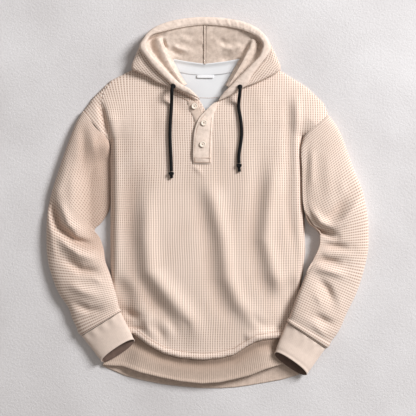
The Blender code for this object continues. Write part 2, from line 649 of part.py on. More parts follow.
def make_drawcords(garment, materials):
    for name, table in (("drawcord_left", CORD_LEFT), ("drawcord_right", CORD_RIGHT)):
        route = cord_route(table)
        curve = bpy.data.curves.new(name, "CURVE")
        curve.dimensions = "3D"
        curve.bevel_depth = CORD_RADIUS * MM
        curve.bevel_resolution = 2
        curve.use_fill_caps = True
        line = curve.splines.new("POLY")
        line.points.add(len(route) - 1)
        for point, place in zip(line.points, route):
            point.co = (*(value * MM for value in place), 1.0)
        curve.materials.append(materials["cord"])
        garment.objects.link(bpy.data.objects.new(name, curve))
    for name, x, y, z, facing in EYELETS:
        bpy.ops.mesh.primitive_torus_add(
            major_radius=EYELET_RADIUS * MM, minor_radius=EYELET_THICKNESS * MM,
            major_segments=16, minor_segments=6)
        ring = adopt(garment, name, materials["eyelet"])
        ring.location = (x * MM, y * MM, z * MM)
        ring.rotation_euler = Vector(facing).to_track_quat("Z", "Y").to_euler()
    for name, x, y, radius, half in KNOTS:
        bpy.ops.mesh.primitive_uv_sphere_add(segments=12, ring_count=8, radius=1.0)
        knot = adopt(garment, name, materials["cord"])
        knot.scale = (radius * MM, half * MM, 0.86 * radius * MM)
        knot.location = (x * MM, y * MM, (on_front(x, y, radius * 0.6) + 0.86 * radius) * MM)


garment = clear_scene()
materials = {slot: make_material(slot) for slot in COLORS}
make_body(garment, materials)
make_sleeves(garment, materials)
make_hem(garment, materials)
make_hood(garment, materials)
make_neck(garment, materials)
make_placket(garment, materials)
make_drawcords(garment, materials)
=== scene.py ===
"""Waffle-knit henley hoodie, laid flat on its back with the hood open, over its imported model."""
import math

import bmesh
import bpy
import numpy as np
from mathutils import Matrix, Vector


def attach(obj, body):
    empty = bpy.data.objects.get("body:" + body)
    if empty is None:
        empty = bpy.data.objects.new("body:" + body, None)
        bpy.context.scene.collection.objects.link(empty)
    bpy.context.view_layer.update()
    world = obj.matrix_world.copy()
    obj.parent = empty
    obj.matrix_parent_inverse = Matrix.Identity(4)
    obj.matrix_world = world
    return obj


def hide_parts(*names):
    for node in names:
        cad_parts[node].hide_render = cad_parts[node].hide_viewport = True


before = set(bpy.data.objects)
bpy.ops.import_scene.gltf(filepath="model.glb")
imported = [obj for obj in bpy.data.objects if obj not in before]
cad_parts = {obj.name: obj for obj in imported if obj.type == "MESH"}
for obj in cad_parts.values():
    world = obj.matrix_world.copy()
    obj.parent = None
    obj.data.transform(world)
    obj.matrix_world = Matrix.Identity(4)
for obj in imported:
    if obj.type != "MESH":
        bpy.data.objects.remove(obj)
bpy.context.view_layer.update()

# ---------------------------------------------------------------------------------------------
# The view and the table.  The hoodie lies on a plain pale surface, seen from straight above, in
# soft light that comes from the upper right.
MM = 0.001
scene = bpy.context.scene
scene.view_settings.view_transform = "Standard"

lens = bpy.data.cameras.new("top_view")
lens.lens = 100
lens.sensor_width = 36
camera = bpy.data.objects.new("top_view", lens)
camera.location = (0.00165, -0.0114, 2.560)
scene.collection.objects.link(camera)
scene.camera = camera


def soft_lamp(name, place, size, watts, color=(1.0, 1.0, 1.0)):
    """A round lamp, size metres across, that faces the middle of the table."""
    lamp = bpy.data.lights.new(name, "AREA")
    lamp.shape = "DISK"
    lamp.size = size
    lamp.energy = watts
    lamp.color = color
    stand = bpy.data.objects.new(name, lamp)
    stand.location = place
    stand.rotation_euler = Vector(place).to_track_quat("Z", "Y").to_euler()
    scene.collection.objects.link(stand)


soft_lamp("window_light", (3.6, 2.5, 3.2), 2.0, 398, (0.99, 1.0, 1.02))
soft_lamp("room_light", (-0.6, -0.2, 2.9), 2.4, 6)

world = bpy.data.worlds.new("studio")
world.use_nodes = True
room = world.node_tree.nodes["Background"]
room.inputs["Color"].default_value = (1.0, 0.935, 0.885, 1.0)
room.inputs["Strength"].default_value = 0.27
scene.world = world


def new_material(name, roughness):
    """A material; returns it with its node tree and its Principled shader."""
    finish = bpy.data.materials.new(name)
    finish.use_nodes = True
    shader = finish.node_tree.nodes["Principled BSDF"]
    shader.inputs["Roughness"].default_value = roughness
    return finish, finish.node_tree, shader


def node(tree, kind, **settings):
    made = tree.nodes.new(kind)
    for key, value in settings.items():
        setattr(made, key, value)
    return made


def noise(tree, scale, detail=2.0, roughness=0.5):
    """Noise from 0 to 1 over a piece's own coordinates."""
    cloud = node(tree, "ShaderNodeTexNoise")
    for socket, value in (("Scale", scale), ("Detail", detail), ("Roughness", roughness)):
        cloud.inputs[socket].default_value = value
    tree.links.new(node(tree, "ShaderNodeTexCoord").outputs["Object"], cloud.inputs["Vector"])
    return cloud.outputs["Fac"]


def two_tones(tree, shader, value, first, second, low=0.0, high=1.0):
    """Colours a shader: the first tone where value is low, the second where it is high."""
    tone = node(tree, "ShaderNodeValToRGB")
    for stop, place, color in zip(tone.color_ramp.elements, (low, high), (first, second)):
        stop.position = place
        stop.color = (*color, 1.0)
    tree.links.new(value, tone.inputs["Fac"])
    tree.links.new(tone.outputs["Color"], shader.inputs["Base Color"])


def bump(tree, shader, height, strength, distance):
    """Bumps a shader's surface by height, distance metres high; returns the bump."""
    bumped = node(tree, "ShaderNodeBump")
    bumped.inputs["Strength"].default_value = strength
    bumped.inputs["Distance"].default_value = distance
    tree.links.new(height, bumped.inputs["Height"])
    tree.links.new(bumped.outputs["Normal"], shader.inputs["Normal"])
    return bumped


table_finish, tree, shader = new_material("plaster_table", 0.75)
two_tones(tree, shader, noise(tree, 5.0, 4.0), (0.60, 0.575, 0.572), (0.72, 0.70, 0.70), 0.3, 0.75)
bump(tree, shader, noise(tree, 190.0, 5.0, 0.75), 0.6, 0.0022)

shape = bmesh.new()
bmesh.ops.create_grid(shape, x_segments=1, y_segments=1, size=4.0)
table_mesh = bpy.data.meshes.new("table_top")
shape.to_mesh(table_mesh)
shape.free()
table_mesh.materials.append(table_finish)
table_top = bpy.data.objects.new("table_top", table_mesh)
scene.collection.objects.link(table_top)

# ---------------------------------------------------------------------------------------------
# Drawcords.  Two ends of a thick round black braid, 7.4 mm across, that come out of the eyelets
# at the front of the hood, drop onto the chest and end in tight overhand knots.
CORD_RADIUS = 3.7
CORD_LEFT = (           # centreline in metres, from the eyelet to the knot
    (-0.0743, 0.2556, 0.0320), (-0.0749, 0.2545, 0.0336), (-0.0755, 0.2530, 0.0354),
    (-0.0760, 0.2517, 0.0367), (-0.0764, 0.2501, 0.0377), (-0.0767, 0.2480, 0.0384),
    (-0.0769, 0.2455, 0.0386), (-0.0772, 0.2426, 0.0384), (-0.0774, 0.2395, 0.0372),
    (-0.0776, 0.2360, 0.0354), (-0.0778, 0.2322, 0.0327), (-0.0779, 0.2282, 0.0298),
    (-0.0781, 0.2239, 0.0268), (-0.0783, 0.2189, 0.0254), (-0.0784, 0.2131, 0.0254),
    (-0.0790, 0.2040, 0.0263), (-0.0799, 0.1923, 0.0281), (-0.0805, 0.1807, 0.0297),
    (-0.0810, 0.1690, 0.0302), (-0.0814, 0.1571, 0.0306), (-0.0815, 0.1459, 0.0309),
    (-0.0812, 0.1360, 0.0313), (-0.0808, 0.1257, 0.0316), (-0.0802, 0.1145, 0.0320),
    (-0.0796, 0.1034, 0.0324), (-0.0791, 0.0923, 0.0327), (-0.0787, 0.0796, 0.0331),
    (-0.0785, 0.0690, 0.0335))
CORD_RIGHT = (          # centreline in metres, from the eyelet to the knot
    (0.0713, 0.2536, 0.0338), (0.0715, 0.2528, 0.0354), (0.0716, 0.2515, 0.0372),
    (0.0717, 0.2501, 0.0386), (0.0717, 0.2482, 0.0395), (0.0716, 0.2460, 0.0401),
    (0.0714, 0.2434, 0.0401), (0.0712, 0.2406, 0.0395), (0.0709, 0.2375, 0.0381),
    (0.0705, 0.2340, 0.0360), (0.0701, 0.2302, 0.0331), (0.0696, 0.2262, 0.0300),
    (0.0692, 0.2219, 0.0269), (0.0689, 0.2169, 0.0256), (0.0688, 0.2110, 0.0256),
    (0.0696, 0.2025, 0.0265), (0.0717, 0.1920, 0.0281), (0.0732, 0.1821, 0.0295),
    (0.0745, 0.1720, 0.0301), (0.0753, 0.1610, 0.0305), (0.0754, 0.1498, 0.0308),
    (0.0744, 0.1385, 0.0312), (0.0729, 0.1278, 0.0315), (0.0711, 0.1177, 0.0319),
    (0.0698, 0.1090, 0.0322), (0.0691, 0.1015, 0.0324), (0.0691, 0.0934, 0.0327),
    (0.0695, 0.0870, 0.0329))

braid_finish, tree, shader = new_material("black_braid", 0.78)
shader.inputs["Specular IOR Level"].default_value = 0.18
stretch = node(tree, "ShaderNodeMapping")
stretch.inputs["Scale"].default_value = (700.0, 420.0, 1.0)
stretch.inputs["Rotation"].default_value = (0.0, 0.0, 0.6)
strands = node(tree, "ShaderNodeTexVoronoi", feature="F1")
strands.inputs["Scale"].default_value = 1.0
tree.links.new(node(tree, "ShaderNodeUVMap", uv_map="cloth").outputs["UV"], stretch.inputs["Vector"])
tree.links.new(stretch.outputs["Vector"], strands.inputs["Vector"])
two_tones(tree, shader, strands.outputs["Distance"], (0.009, 0.009, 0.010), (0.003, 0.003, 0.003))
bump(tree, shader, strands.outputs["Distance"], 0.6, 0.0006)


def lengths_along(line):
    """The length of a line up to each of its points."""
    return np.concatenate([[0.0], np.cumsum(np.linalg.norm(np.diff(line, axis=0), axis=1))])


def even_steps(line, count, bunch=0.0):
    """count points at even lengths along a polyline; bunch > 0 crowds them to its ends."""
    line = np.array(line, dtype=float)
    steps = lengths_along(line)
    t = np.linspace(0.0, 1.0, count)
    t = (t + (0.5 - 0.5 * np.cos(math.pi * t) - t) * bunch) * steps[-1]
    return np.stack([np.interp(t, steps, line[:, k]) for k in range(line.shape[1])], axis=1)


def soften(line, passes):
    """Evens out the corners of a line and keeps its ends."""
    line = np.array(line, dtype=float)
    for _ in range(passes):
        line[1:-1] = (line[:-2] + 2 * line[1:-1] + line[2:]) / 4
    return line


def on_cloth(across, along):
    """The place on the cut cloth, in mm, of each corner of a grid with these columns and rows."""
    return np.stack(np.meshgrid(across, along), axis=-1)


def cloth_mesh(name, places, flat):
    """A sheet of quads through places[row, column] in mm; flat is each corner's place on the cut cloth."""
    rows, columns = places.shape[:2]
    shape = bmesh.new()
    bmesh.ops.create_grid(shape, x_segments=columns - 1, y_segments=rows - 1, size=1.0)
    mesh = bpy.data.meshes.new(name)
    shape.to_mesh(mesh)
    shape.free()
    mesh.vertices.foreach_set("co", (places.reshape(-1) * MM).astype(np.float32))
    corners = np.empty(len(mesh.loops), dtype=np.int32)
    mesh.loops.foreach_get("vertex_index", corners)
    cut = mesh.uv_layers.new(name="cloth")
    cut.data.foreach_set("uv", (flat.reshape(-1, 2)[corners] * MM).reshape(-1).astype(np.float32))
    mesh.update()
    return mesh


def finish_piece(name, mesh, finish, replaced=None, smooth=True):
    """Puts a finished mesh on the hoodie's one body, with its material and slot."""
    mesh.materials.clear()
    mesh.materials.append(finish)
    if smooth:
        mesh.shade_smooth()
    piece = bpy.data.objects.new(name, mesh)
    scene.collection.objects.link(piece)
    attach(piece, "root")
    if replaced:
        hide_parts(replaced)
    return piece


def weld(mesh, gap=0.00002, outward=False, capped=False):
    """Merges corners that meet; closes open ends and turns the faces outward where asked to."""
    shape = bmesh.new()
    shape.from_mesh(mesh)
    bmesh.ops.remove_doubles(shape, verts=shape.verts, dist=gap)
    if capped:
        bmesh.ops.holes_fill(shape, edges=[edge for edge in shape.edges if edge.is_boundary], sides=0)
    else:
        bmesh.ops.dissolve_degenerate(shape, edges=shape.edges, dist=0.000005)
    if outward:
        bmesh.ops.recalc_face_normals(shape, faces=shape.faces)
    shape.to_mesh(mesh)
    shape.free()


def round_line(name, line, radius, around=14, strands=0, taper=None):
    """A round braid along a line in mm; strands lays that many raised turns over it."""
    line = np.array(line, dtype=float)
    ahead = np.gradient(line, axis=0)
    ahead /= np.linalg.norm(ahead, axis=1, keepdims=True)
    side = np.cross(ahead[0], (0.0, 0.0, 1.0))
    if np.linalg.norm(side) < 0.1:
        side = np.array((1.0, 0.0, 0.0))
    length = lengths_along(line)
    turn = np.linspace(0.0, 2 * math.pi, around + 1)
    rings = []
    for i, point in enumerate(line):
        side = side - ahead[i] * side.dot(ahead[i])
        side /= np.linalg.norm(side)
        up = np.cross(side, ahead[i])
        reach = radius * (taper[i] if taper is not None else 1.0)
        if strands:
            twist = length[i] * 1.3
            reach = reach + 0.07 * radius * np.sin(strands * turn + twist) * np.sin(strands * turn - twist)
        rings.append(point + np.outer(np.cos(turn) * reach, side) + np.outer(np.sin(turn) * reach, up))
    mesh = cloth_mesh(name, np.array(rings), on_cloth(turn * radius, length))
    weld(mesh, gap=0.00001, outward=True, capped=True)
    return mesh


def overhand_knot(name, middle, width, length, height, thickness):
    """A tight three-lobed knot, width by length by height, of a squeezed cord."""
    turn = np.linspace(0.0, 2 * math.pi, 97)[:-1]
    lobes = np.stack([np.sin(turn) + 2 * np.sin(2 * turn), np.cos(turn) - 2 * np.cos(2 * turn),
                      -np.sin(3 * turn)], axis=1)
    lobes /= np.abs(lobes).max(axis=0)
    lobes *= np.array((width, length, height)) / 2 - thickness
    line = lobes + np.array(middle)
    return round_line(name, np.concatenate([line, line[:1]]), thickness, around=10, strands=3)


for name, route, tail in (("left", CORD_LEFT, 14.5), ("right", CORD_RIGHT, 18.55)):
    line = soften(even_steps(np.array(route) / MM, 200), 6)
    end = line[-1]
    mesh = round_line("drawcord_" + name, line, CORD_RADIUS, around=16, strands=4)
    cord = finish_piece("drawcord_braid_" + name, mesh, braid_finish, "drawcord_" + name)
    knot_middle = end + np.array((0.0, -6.0, 0.6))
    mesh = overhand_knot("knot_" + name, knot_middle, 12.0, 12.0, 8.8, 2.9)
    knot = finish_piece("knot_braid_" + name, mesh, braid_finish, "knot_" + name)
    frayed = even_steps(end + np.array(((0, -9, 0.2), (0.4, -12, 0), (0.9, -tail, -0.4))), 12)
    mesh = round_line("cord_tail_" + name, frayed, CORD_RADIUS * 0.86, around=12, strands=4,
                      taper=np.linspace(0.9, 1.22, 12))
    cord_tail = finish_piece("cord_tail_" + name, mesh, braid_finish)

# ---------------------------------------------------------------------------------------------
# Body.  A front and a back cut from one waffle knit, 5.2 mm between ribs, with drop armholes.
# The front lies over the back with rolled sides; the cuffs that rest on it press it down.
CELL = 5.2              # waffle pitch, rib to rib
CLOTH = 1.3             # thickness under the cells
FRONT_BASE = 4.4
ROLL_DEPTH = 60.0
SHOULDER_LEFT = ((-100, 314), (-168, 293), (-214, 270), (-252, 233), (-274, 203))
SHOULDER_RIGHT = ((95, 312), (162, 292), (219, 257), (258, 220), (268, 194))
SIDE_LEFT = ((-216, 135), (-214, 60), (-214, -180), (-212, -292))
SIDE_RIGHT = ((210, 145), (213, 40), (217, -110), (203, -220), (197, -300))
NECKLINE = ((-100, 314), (-76, 262), (-58, 251), (-36, 240), (-17, 226), (-3, 201), (13, 217), (24, 224),
            (50, 242), (71, 257), (95, 312))
HEM_SEAM = ((-212, -292), (-163, -290), (-129, -314), (-96, -332), (-58, -342), (-12, -346),
            (27, -343), (59, -335), (85, -318), (110, -304), (162, -299), (197, -300))
BACK_NECK = ((-100, 314), (-83, 316), (-45, 309), (-6, 303), (39, 309), (81, 316), (95, 312))
BACK_HEM_SEAM = ((-212, -292), (-163, -322), (-96, -338), (-12, -346), (85, -338), (162, -320),
                 (197, -300))
HEM_FRONT_EDGE = ((-231, -359), (-188, -361), (-146, -374), (-104, -384), (-60, -393), (-12, -398),
                  (30, -395), (62, -388), (94, -380), (129, -366), (166, -356), (203, -377))
FRONT_LIFT = (          # y, lift
    (330, 8), (270, 9.5), (235, 13), (180, 21), (60, 25), (-160, 25), (-260, 20), (-346, 13), (-400, 12))
PRESSED = (             # x, y, reach, keep
    (-205, -215, 46, 0.36), (-196, -285, 56, 0.22), (-214, -345, 50, 0.30),
    (196, -215, 46, 0.36), (186, -290, 60, 0.22), (196, -350, 56, 0.30))
FRONT_FOLDS = (         # line, half_width, height
    (((-160, 110), (-163, 40), (-167, -66), (-158, -148), (-124, -206), (-86, -254), (-58, -300)), 23, -6),
    (((-129, 40), (-133, -76), (-127, -150), (-86, -200), (-36, -262), (-10, -316)), 22, 11),
    (((-33, 50), (-14, -16), (0, -82), (8, -165), (28, -220), (78, -282)), 20, -4),
    (((-9, 68), (15, 2), (35, -78), (46, -165), (70, -220), (126, -284)), 19, 9.0),
    (((122, 112), (110, 20), (98, -80), (112, -160), (164, -262)), 19, -3.6),
    (((150, 106), (138, 16), (128, -80), (146, -154), (190, -246)), 17, 8.0))
FRONT_CREASES = (       # line, half_width, height: finer ones, in the cloth alone
    (((-220, 216), (-207, 178), (-202, 116), (-200, -60), (-202, -180)), 12, 4.5),
    (((-238, 226), (-226, 180), (-217, 138)), 7, -9),
    (((197, 245), (197, 116), (199, 20), (203, -60), (209, -130)), 9, 5),
    (((176, 240), (178, 94), (176, 0), (188, -100)), 10, -3.2),
    (((-142, -190), (-108, -238), (-84, -276)), 20, -4),
    (((-188, -238), (-166, -246), (-146, -254)), 8, -12),
    (((-172, -276), (-150, -276), (-134, -281)), 4, -3),
    (((-104, -247), (-84, -280), (-70, -306)), 10, 5),
    (((-118, -262), (-100, -292), (-92, -312)), 7, -3),
    (((-142, -250), (-130, -278), (-112, -300)), 7, 3),
    (((-36, 84), (-20, 72), (-8, 58)), 5, 2.5),
    (((28, 190), (40, 120), (44, 60)), 16, 2),
    (((-110, 250), (-70, 220), (-36, 186)), 13, -3.5),
    (((-160, -262), (-132, -258), (-108, -244)), 9, 4.5),
    (((-64, -244), (-46, -266), (-38, -292)), 9, -3.5),
    (((92, -236), (112, -262), (140, -276)), 9, -4),
    (((-100, 60), (-92, -40), (-84, -120)), 22, 2.2),
    (((70, 180), (84, 60), (80, -60)), 20, 1.8),
    (((104, 268), (120, 210), (126, 150)), 16, 2.5),
    (((-132, 250), (-120, 180), (-118, 110)), 14, -1.6))


def closest(x, y, line):
    """The nearest point of a polyline to each (x, y): how far it is, and its x and y."""
    best, near_x, near_y = (np.full(np.shape(x), start) for start in (1e9, 0.0, 0.0))
    for (ax, ay), (bx, by) in zip(line, line[1:]):
        ux, uy = bx - ax, by - ay
        t = np.clip(((x - ax) * ux + (y - ay) * uy) / max(ux * ux + uy * uy, 1e-9), 0.0, 1.0)
        px, py = ax + t * ux, ay + t * uy
        reach = np.hypot(x - px, y - py)
        closer = reach < best
        best = np.where(closer, reach, best)
        near_x = np.where(closer, px, near_x)
        near_y = np.where(closer, py, near_y)
    return best, near_x, near_y


def nearest(x, y, *lines):
    """Distance of each (x, y) from the nearest of these polylines."""
    return np.min([closest(x, y, line)[0] for line in lines], axis=0)


def hump(distance, width):
    """1 at no distance, about a third at width and nothing far away."""
    return np.exp(-(distance / width) ** 2)


def climb(value, start, end):
    """0 up to start, 1 from end on, and even between them."""
    return np.clip((value - start) / (end - start), 0.0, 1.0)


def creased(x, y, folds):
    """Height of all the creases together at each (x, y); each one fades in and out at its ends."""
    total = np.zeros(np.shape(x))
    for line, half_width, height in folds:
        fade = 1.0
        for end_x, end_y in (line[0], line[-1]):
            fade = fade * (1.0 - 0.85 * hump(np.hypot(x - end_x, y - end_y), 2.6 * half_width))
        total += height * fade * hump(nearest(x, y, line), half_width)
    return total


def front_height(x, y):
    """Height of the front's outer face over the table."""
    x, y = np.asarray(x, dtype=float), np.asarray(y, dtype=float)
    rows = sorted(FRONT_LIFT)
    lift = np.interp(y, [row[0] for row in rows], [row[1] for row in rows])
    inward = nearest(x, y, SHOULDER_LEFT, SIDE_LEFT + HEM_FRONT_EDGE[:1], SHOULDER_RIGHT,
                     SIDE_RIGHT + HEM_FRONT_EDGE[-1:])
    rolled = np.sqrt(1.0 - (1.0 - climb(inward, 0.0, ROLL_DEPTH)) ** 2)
    lift = (lift + creased(x, y, FRONT_FOLDS)) * rolled
    for px, py, reach, keep in PRESSED:
        lift = lift * (1.0 - (1.0 - keep) * np.exp(-(np.hypot(x - px, y - py) / reach) ** 4))
    return FRONT_BASE + np.maximum(lift, 0.0)


def inside(x, y, outline):
    """True where (x, y) is inside a closed outline."""
    within = np.zeros(np.shape(x), dtype=bool)
    for (ax, ay), (bx, by) in zip(outline, outline[1:] + outline[:1]):
        if ay != by:
            within ^= ((ay > y) != (by > y)) & (x < (bx - ax) * (y - ay) / (by - ay) + ax)
    return within


def waffle_depth(across, along, relief):
    """Depth of each corner of a half-cell grid, numbered across and along; ribs cross at even numbers.
    relief is the depth of the pits, of the ribs that run along and of those that run across."""
    pit, rib_along, rib_across = relief
    odd_x, odd_y = (across % 2 == 1)[None, :], (along % 2 == 1)[:, None]
    return np.where(odd_x, np.where(odd_y, pit, rib_across), np.where(odd_y, rib_along, 0.0))


def trim(mesh, outline, height):
    """Cuts a flat grid to its outline and lays the cut edge exactly on it."""
    shape = bmesh.new()
    shape.from_mesh(mesh)
    centres = np.array([face.calc_center_median()[:2] for face in shape.faces]) / MM
    kept = inside(centres[:, 0], centres[:, 1], outline)
    outside = [face for face, stays in zip(shape.faces, kept) if not stays]
    bmesh.ops.delete(shape, geom=outside, context="FACES")
    rim = [vert for vert in shape.verts if vert.is_boundary]
    corners = np.array([vert.co[:2] for vert in rim]) / MM
    _, x, y = closest(corners[:, 0], corners[:, 1], outline + outline[:1])
    for vert, px, py, pz in zip(rim, x, y, height(x, y)):
        vert.co = Vector((px, py, pz)) * MM
    shape.to_mesh(mesh)
    shape.free()


def surface_normals(places):
    """The direction each corner of a grid faces."""
    across, along = np.gradient(places, axis=1), np.gradient(places, axis=0)
    normals = np.cross(across, along)
    return normals / np.maximum(np.linalg.norm(normals, axis=2, keepdims=True), 1e-9)


def thicken(piece, thickness=CLOTH, inside_finish=None):
    """Gives a sheet the thickness of its cloth, inward; its inner face can have a finish of its own."""
    if inside_finish:
        piece.data.materials.append(inside_finish)
    wall = piece.modifiers.new("cloth", "SOLIDIFY")
    wall.thickness = thickness * MM
    wall.offset = -1.0
    wall.use_even_offset = False
    wall.use_rim = True
    wall.material_offset = 1 if inside_finish else 0


def math_node(tree, operation, *values, use_clamp=False):
    """One step of arithmetic on sockets and numbers."""
    step = node(tree, "ShaderNodeMath", operation=operation, use_clamp=use_clamp)
    for socket, value in zip(step.inputs, values):
        if isinstance(value, float):
            socket.default_value = value
        else:
            tree.links.new(value, socket)
    return step.outputs[0]


def cloth_wave(tree, axis, pitch):
    """0 to 1 to 0 over each pitch mm of the cut cloth along its X or Y."""
    split = node(tree, "ShaderNodeSeparateXYZ")
    tree.links.new(node(tree, "ShaderNodeUVMap", uv_map="cloth").outputs["UV"], split.inputs[0])
    angle = math_node(tree, "MULTIPLY", split.outputs[axis], 2 * math.pi / (pitch * MM))
    return math_node(tree, "MULTIPLY_ADD", math_node(tree, "COSINE", angle), -0.5, 0.5)


def new_group(name, outputs):
    """A node group with these outputs; returns it and the node that gives them."""
    group = bpy.data.node_groups.new(name, "ShaderNodeTree")
    for output in outputs:
        group.interface.new_socket(output, in_out="OUTPUT", socket_type="NodeSocketFloat")
    return group, node(group, "NodeGroupOutput")


# Cotton surface, shared by all the cloths: blotches of dye, soft fuzz and single yarn flecks.
COTTON_NOISE = (("Dye", 14.0, 3.0), ("Fuzz", 900.0, 2.0), ("Fleck", 420.0, 4.0))    # scale, detail
cotton, cotton_out = new_group("cotton_yarn", [name for name, _, _ in COTTON_NOISE])
for name, scale, detail in COTTON_NOISE:
    cotton.links.new(noise(cotton, scale, detail), cotton_out.inputs[name])

# The waffle's own pattern on the cut cloth: pits between raised ribs, the lengthwise ribs the bolder.
cells, cells_out = new_group("waffle_cells", ("Pit", "Rib", "Height"))
across_cell, along_cell = (cloth_wave(cells, axis, CELL) for axis in "XY")
pit = math_node(cells, "MULTIPLY", across_cell, along_cell)
rib = math_node(cells, "SUBTRACT", 1.0, math_node(cells, "MULTIPLY_ADD", along_cell, 0.08, across_cell),
                use_clamp=True)
for name, value in (("Pit", pit), ("Rib", rib), ("Height", math_node(cells, "SUBTRACT", rib, pit))):
    cells.links.new(value, cells_out.inputs[name])


def use_group(tree, group):
    """The outputs of a node group used in this tree."""
    return node(tree, "ShaderNodeGroup", node_tree=group).outputs


def ramp(tree, value, low, high, start=0.0, end=1.0):
    """Stretches value from start..end to low..high."""
    reach = node(tree, "ShaderNodeMapRange")
    for socket, number in zip(("From Min", "From Max", "To Min", "To Max"), (start, end, low, high)):
        reach.inputs[socket].default_value = number
    tree.links.new(value, reach.inputs["Value"])
    return reach.outputs["Result"]


def layered(tree, shader, color, *layers):
    """Colours a shader, with layers of (share, colour) mixed in one after the other."""
    for share, over in layers:
        mix = node(tree, "ShaderNodeMix", data_type="RGBA")
        tree.links.new(share, mix.inputs["Factor"])
        if isinstance(color, tuple):
            mix.inputs[6].default_value = (*color, 1.0)
        else:
            tree.links.new(color, mix.inputs[6])
        mix.inputs[7].default_value = (*over, 1.0)
        color = mix.outputs[2]
    tree.links.new(color, shader.inputs["Base Color"])


def soft_sheen(shader):
    """The faint shine of brushed cotton."""
    shader.inputs["Sheen Weight"].default_value = 0.12
    shader.inputs["Sheen Roughness"].default_value = 0.6


waffle_finish, tree, shader = new_material("waffle_knit", 0.95)
pattern, yarn = use_group(tree, cells), use_group(tree, cotton)
# Painted shade for the fold troughs, read from the mesh.
painted_shade = node(tree, "ShaderNodeAttribute", attribute_name="painted_shade").outputs["Fac"]
painted_pit_shade = math_node(tree, "MULTIPLY", ramp(tree, pattern["Pit"], 0.0, 1.0, 0.25, 0.95),
                      ramp(tree, yarn["Dye"], 0.75, 1.0, 0.38, 0.62))
# Colour: painted shade darker in the grooves between the lighter ribs, in the marked fold troughs and in the
# pits; then random dye blotches and light yarn flecks.
layered(tree, shader, (0.63, 0.465, 0.38),
        (pattern["Rib"], (0.83, 0.713, 0.62)),
        (ramp(tree, painted_shade, 0.0, 0.8), (0.50, 0.35, 0.27)),
        (painted_pit_shade, (0.25, 0.145, 0.105)),
        (ramp(tree, yarn["Dye"], 0.0, 0.16, 0.35, 0.7), (0.52, 0.36, 0.26)),
        (ramp(tree, yarn["Fleck"], 0.0, 0.30, 0.45, 0.75), (0.88, 0.76, 0.65)))
bump(tree, shader, yarn["Fuzz"], 0.5, 0.0005)
soft_sheen(shader)

thread_finish, tree, shader = new_material("sewing_thread", 0.85)
two_tones(tree, shader, use_group(tree, cotton)["Fleck"], (0.40, 0.26, 0.19), (0.54, 0.38, 0.29))

STITCH_STEP = 0.8       # mm between the points of a stitched row
STITCH_POINTS = 5       # points from one stitch to the next


def stitches(name, line, height, radius=0.5):
    """A row of sewn stitches along a line of (x, y), laid on height(x, y): thick thread, thin between."""
    length = sum(math.dist(a, b) for a, b in zip(line, line[1:]))
    places = even_steps(line, int(length / STITCH_STEP) + 2)
    places = np.column_stack([places, height(places[:, 0], places[:, 1]) + 0.15])
    thin = np.where(np.arange(len(places)) % STITCH_POINTS == 0, 0.2, 1.0)
    finish_piece(name, round_line(name, places, radius, around=6, taper=thin), thread_finish)


CAP_CREASE = ((-217, 138), (-226, 180), (-234, 214), (-232, 240))   # under the left drop shoulder
OVERHANG = ((92, -294), (116, -287), (162, -285), (190, -287))      # loose cloth over the hem seam
EDGE_HOLD = 14.0        # how near an edge the finer forms fade out
HEM_ROLL = 6.0          # rise of the cloth above the hem seam
HEM_DENT = 1.6          # how far the stitches over the hem seam draw it in
HEM_OVERHANG = 5.0      # rise of the loose cloth over the seam
SIDE_WALL = 22.0        # rise of the sides beside the sleeves, over the front's edge


def draped(x, y):
    """Height of the front with its finer creases and the roll of cloth over the hem seam."""
    x, y = np.asarray(x, dtype=float), np.asarray(y, dtype=float)
    inward = nearest(x, y, SHOULDER_LEFT, SIDE_LEFT, SHOULDER_RIGHT, SIDE_RIGHT)
    held = 1.0 - (1.0 - climb(inward, 0.0, EDGE_HOLD)) ** 2
    above = nearest(x, y, HEM_SEAM)
    roll = HEM_ROLL * hump(above - 6.0, 9.0) * climb(above, 0.0, 1.5) - HEM_DENT * hump(above - 15.0, 2.0)
    overhang = HEM_OVERHANG * hump(nearest(x, y, OVERHANG), 9.0) * (1.0 - hump(above, 3.0))
    z = front_height(x, y) + (creased(x, y, FRONT_CREASES) + roll + overhang) * held
    side = nearest(x, y, SIDE_LEFT, SIDE_RIGHT)
    wall = SIDE_WALL * (1.0 - np.exp(-(side / 6.5) ** 1.2)) * climb(y, -235.0, -165.0) * climb(y, 125.0, 55.0)
    z = z + np.maximum(0.0, FRONT_BASE + wall - z) * hump(side, 17.0)
    return np.maximum(z, FRONT_BASE)


FAN_START = -166.0      # x left of which the ribs lean out over the shoulder
FAN_FLOOR = 150.0       # y above which they lean
FAN_SQUEEZE = 0.85      # their pitch below that, beside the pitch elsewhere
FRONT_RELIEF = (1.6, 0.12, 0.55)        # depth of pits, of ribs along and of ribs across
CAP_RELIEF = (1.9, 0.152, 0.684)


def eased(t):
    """0 to 1 with a soft start and a soft end."""
    return t * t * (3.0 - 2.0 * t)


